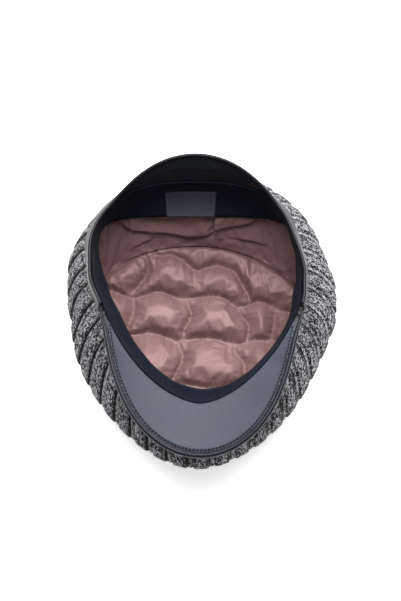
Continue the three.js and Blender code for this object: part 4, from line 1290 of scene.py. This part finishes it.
def swell(piece, pinned, pressure, growth, cap_mm):
    """Blows a cloth up between its pinned points. growth is how much wider than its place it is cut."""
    scene = bpy.context.scene
    group = piece.vertex_groups.new(name="stitched")
    group.add([int(i) for i in pinned], 1.0, "REPLACE")
    start = np.empty(len(piece.data.vertices) * 3)
    piece.data.vertices.foreach_get("co", start)
    cloth = piece.modifiers.new("swelling", "CLOTH")
    settings = cloth.settings
    settings.vertex_group_mass = "stitched"
    settings.effector_weights.gravity = 0
    settings.quality = 6
    settings.mass = 0.3
    settings.tension_stiffness = settings.compression_stiffness = CLOTH_STIFFNESS
    settings.shear_stiffness = CLOTH_STIFFNESS / 2
    settings.bending_stiffness = CLOTH_BENDING
    settings.use_pressure = True
    settings.uniform_pressure_force = pressure
    settings.shrink_min = -growth
    cloth.collision_settings.use_collision = False
    cloth.point_cache.frame_start = 1
    cloth.point_cache.frame_end = SWELL_FRAMES
    for number in range(1, SWELL_FRAMES + 1):
        scene.frame_set(number)
    settled = piece.evaluated_get(bpy.context.evaluated_depsgraph_get()).data
    end = np.empty_like(start)
    settled.vertices.foreach_get("co", end)
    piece.modifiers.remove(cloth)
    scene.frame_set(1)
    moved = (end - start).reshape(-1, 3)
    length = np.linalg.norm(moved, axis=1, keepdims=True)
    limit = cap_mm * MM
    eased = limit * np.tanh(length / limit)
    moved = moved * eased / np.maximum(length, 1e-9)
    piece.data.vertices.foreach_set("co", (start.reshape(-1, 3) + moved).ravel())
    piece.data.update()


SATIN_THICKNESS = 0.6


def thicken(piece):
    """Smooths the cloth once and gives it a back."""
    finer = piece.modifiers.new("smoother", "SUBSURF")
    finer.levels = finer.render_levels = 1
    wall = piece.modifiers.new("wall", "SOLIDIFY")
    wall.thickness = SATIN_THICKNESS * MM
    wall.offset = -1


def surface_of(piece):
    return BVHTree.FromObject(piece, bpy.context.evaluated_depsgraph_get())


def on_surface(tree, path):
    """The path dropped onto a surface from above, and the way the surface faces there."""
    landed, facing = [], []
    for x, y, z in path:
        point, normal, _, _ = tree.ray_cast(Vector((x, y, OPENING_HEIGHT * MM)), Vector((0, 0, -1)))
        if point is not None:
            landed.append(point)
            facing.append(normal if normal.z > 0 else -normal)
    return np.array(landed), np.array(facing)


def make_lining_top():
    row_lines = quilt_lines(QUILT_ROWS + SEAM_SCALLOPS)
    cross_lines = quilt_lines(CROSS_STITCHES + SEAM_SCALLOPS[:1])
    lines = row_lines + quilt_lines(CROSS_STITCHES)
    plan, triangles = quilted_plan(lines)
    reach = lining_reach(plan)
    dish = (LINING_SEAM_HEIGHT - SEAM_GAP - LINING_TOP_HEIGHT) * np.minimum(reach, 1) ** LINING_DISH_CURVE
    row_gap = distance_to(plan, np.concatenate(row_lines))
    cross_gap = distance_to(plan, np.concatenate(cross_lines))
    calm = 1 - smooth((reach - 0.9) / 0.1)
    height = LINING_TOP_HEIGHT + dish + puff(plan, row_gap, cross_gap) * calm
    points = np.concatenate([plan, height[:, None]], -1)
    piece = make_mesh("lining_top_satin", placed(points), [triangles], plan, SATIN)
    if sum(face.normal.z for face in piece.data.polygons) < 0:
        piece.data.flip_normals()
    stitched = np.minimum(row_gap, distance_to(plan, np.concatenate(lines)))
    pinned = np.flatnonzero((stitched < 0.3) | (reach > 0.985))
    swell(piece, pinned, pressure=1.5, growth=0.035, cap_mm=3.5)
    thicken(piece)
    tree = surface_of(piece)
    runs = []
    for line in lines:
        path = placed(np.concatenate([line, np.zeros((len(line), 1))], -1))
        landed, facing = on_surface(tree, path)
        if len(landed) > 2:
            runs.append((landed + facing * 0.15 * MM, facing))
    stitches = thread_run("quilting_stitches", runs, SATIN_THREAD, long_mm=1.3, gap_mm=1.3, thick_mm=0.45)
    finished(stitches, None)
    return finished(piece, "lining_top")


LINING_COLUMNS = 360
LINING_ROWS = 32
LINING_ROUND = 560  # length round the side lining and down it, in millimetres
LINING_DOWN = 40

# Folds of the side lining: each hangs over a line of (share of the way round, share of the way down).
# above and below are how far the cloth stands out over the line and is tucked in under it.
LINING_FOLDS = [
    ([(-0.12, 0.36), (-0.102, 0.45), (-0.077, 0.54), (-0.042, 0.61), (-0.009, 0.68), (0.03, 0.66)], 6.3, 4.3),
    ([(0.028, 0.53), (0.053, 0.46), (0.082, 0.38), (0.105, 0.29)], 4.8, 3.6),
    ([(0.032, 0.15), (0.033, 0.51), (0.034, 0.65)], 2.7, 2.5),
    ([(-0.134, 0.02), (-0.121, 0.34), (-0.108, 0.51), (-0.11, 0.61), (-0.116, 0.7)], 3.6, 2.9),
    ([(-0.124, 0.51), (-0.132, 0.59), (-0.14, 0.69), (-0.15, 0.9)], 3.0, 2.5),
    ([(-0.098, 0.81), (-0.079, 0.76), (-0.06, 0.73)], 2.7, 2.2),
    ([(0.07, 0.72), (0.098, 0.69), (0.122, 0.69)], 3.6, 2.9),
    ([(0.116, 0.12), (0.122, 0.4), (0.13, 0.55), (0.136, 0.7)], 3.6, 2.5),
    ([(0.112, 0.85), (0.13, 0.97)], 2.4, 1.8),
    ([(-0.168, 0.3), (-0.16, 0.5), (-0.154, 0.75), (-0.148, 0.98)], 3.9, 2.9),
    ([(0.16, 0.1), (0.175, 0.45), (0.185, 0.9)], 3.0, 2.2),
    ([(0.24, 0.1), (0.245, 0.5), (0.235, 0.9)], 2.4, 1.8),
    ([(-0.26, 0.1), (-0.25, 0.5), (-0.26, 0.9)], 2.4, 1.8),
]


def lining_folds(share, t):
    """How far the side lining stands out of its plain surface, towards the inside of the cap."""
    around = (np.mod(share + 0.5, 1) - 0.5) * LINING_ROUND
    down = t * LINING_DOWN
    out = np.zeros(np.broadcast(share, t).shape)
    for path, above, below in LINING_FOLDS:
        line = resampled(np.array(path) * [LINING_ROUND, LINING_DOWN], 1.5)
        ahead = unit(np.gradient(line, axis=0))
        gap_x = around[..., None] - line[:, 0]
        gap_y = down[..., None] - line[:, 1]
        gap = np.hypot(gap_x, gap_y)
        near = gap.argmin(-1)
        pick = np.take_along_axis
        cross = (pick(gap_x, near[..., None], -1) * ahead[near][..., 1:]
                 - pick(gap_y, near[..., None], -1) * ahead[near][..., :1])[..., 0]
        gap = gap.min(-1)
        ends = smooth(np.minimum(near, len(line) - 1 - near) / 4)
        over = above * np.exp(-(gap / 9) ** 1.4) * (1 - np.exp(-gap / 0.8))
        under = -below * np.exp(-gap / 5) * (1 - np.exp(-gap / 0.5))
        out += np.where(cross > 0, over, under) * mix(0.3, 1, ends)
    return out


def make_lining_side():
    share = np.arange(LINING_COLUMNS) / LINING_COLUMNS
    t = np.concatenate([[-1, -0.6, -0.25], np.linspace(0, 1, LINING_ROWS)])[:, None]
    face = lining_side_face(share[None], t, 0.4)
    inward = -np.concatenate([opening.normal(share), np.zeros((LINING_COLUMNS, 1))], -1)[None]
    held = smooth(t / 0.1) * smooth((1 - t) / 0.08)
    points = face + inward * (lining_folds(share[None], t) * held)[..., None]
    rows = len(t)
    uv = np.stack(np.broadcast_arrays(share[None] * LINING_ROUND, t * LINING_DOWN), -1)
    quads = skin(rows, LINING_COLUMNS)
    piece = make_mesh("lining_side_satin", placed(points).reshape(-1, 3), [quads], uv.reshape(-1, 2), SATIN)
    first = piece.data.polygons[LINING_COLUMNS * 10]
    towards = Vector((*(SHIFT[:2] * MM), first.center.z)) - first.center
    if first.normal.dot(towards) < 0:
        piece.data.flip_normals()
    held_rows = np.concatenate([np.arange(4), [rows - 1]])
    pinned = (held_rows[:, None] * LINING_COLUMNS + np.arange(LINING_COLUMNS)).ravel()
    swell(piece, pinned, pressure=0.4, growth=0.04, cap_mm=3.0)
    thicken(piece)
    return finished(piece, "lining_side")


pieces = {
    "crown_side": make_crown_side(),
    "crown_top": make_crown_top(),
    "sweatband": make_sweatband(),
    "label": make_label(),
    "peak": make_peak(),
    "peak_edge": make_peak_edge(),
    "ear_flap": make_ear_flap(),
    "lining_top": make_lining_top(),
    "lining_side": make_lining_side(),
}
make_band_stitches()
make_peak_stitches()


# Floor, light and camera
FLOOR_HALF = 3.0
FLOOR_GLOW = 0.55  # lifts the cap's own shadow, as a white sweep in a bright studio does


def stage_floor():
    material, nodes, shader = new_material("pale floor", Roughness=0.9, Specular_IOR_Level=0.1)
    nodes.put(shader.inputs["Base Color"], (0.93, 0.93, 0.93, 1))
    nodes.put(shader.inputs["Emission Color"], (1, 1, 1, 1))
    nodes.put(shader.inputs["Emission Strength"], FLOOR_GLOW)
    corners = np.array([[-1, -1, 0], [1, -1, 0], [1, 1, 0], [-1, 1, 0]]) * FLOOR_HALF
    floor = make_mesh("floor", corners, [[[0, 1, 2, 3]]], None, material)


def area_light(name, place, size, power, tint=(1, 1, 1)):
    light = bpy.data.lights.new(name, "AREA")
    light.shape = "RECTANGLE"
    light.size, light.size_y = size
    light.energy = power
    light.color = tint
    lamp = bpy.data.objects.new(name, light)
    lamp.location = place
    aim = Vector((0, 0, 0.06)) - Vector(place)
    lamp.rotation_euler = aim.to_track_quat("-Z", "Y").to_euler()
    bpy.context.scene.collection.objects.link(lamp)


ELEVATION = math.radians(72)
CAMERA_DISTANCE = 984
LENS = 70
VIEW_OFFSET = (1.7, -7.2)


def set_camera():
    ahead = np.array([0, math.cos(ELEVATION), -math.sin(ELEVATION)])
    up = np.array([0, math.sin(ELEVATION), math.cos(ELEVATION)])
    right = np.array([1.0, 0, 0])
    aim = np.array([0, 0, OPENING_HEIGHT]) + right * VIEW_OFFSET[0] + up * VIEW_OFFSET[1] + SHIFT
    data = bpy.data.cameras.new("camera")
    data.lens = LENS
    data.sensor_fit = "VERTICAL"
    data.sensor_height = 36
    data.clip_start, data.clip_end = 0.05, 20
    camera = bpy.data.objects.new("camera", data)
    camera.location = (aim - ahead * CAMERA_DISTANCE) * MM
    camera.rotation_euler = Vector(ahead).to_track_quat("-Z", "Y").to_euler()
    bpy.context.scene.collection.objects.link(camera)
    bpy.context.scene.camera = camera


def set_world():
    world = bpy.data.worlds.new("soft studio")
    world.use_nodes = True
    world.node_tree.nodes["Background"].inputs["Color"].default_value = (1, 1, 1, 1)
    world.node_tree.nodes["Background"].inputs["Strength"].default_value = 0.32
    bpy.context.scene.world = world
    bpy.context.scene.view_settings.view_transform = "Standard"


stage_floor()
area_light("overhead", (0.0, 0.65, 1.5), (1.6, 1.5), 58)
area_light("key", (0.6, 0.95, 1.15), (0.6, 0.4), 10)
set_camera()
set_world()
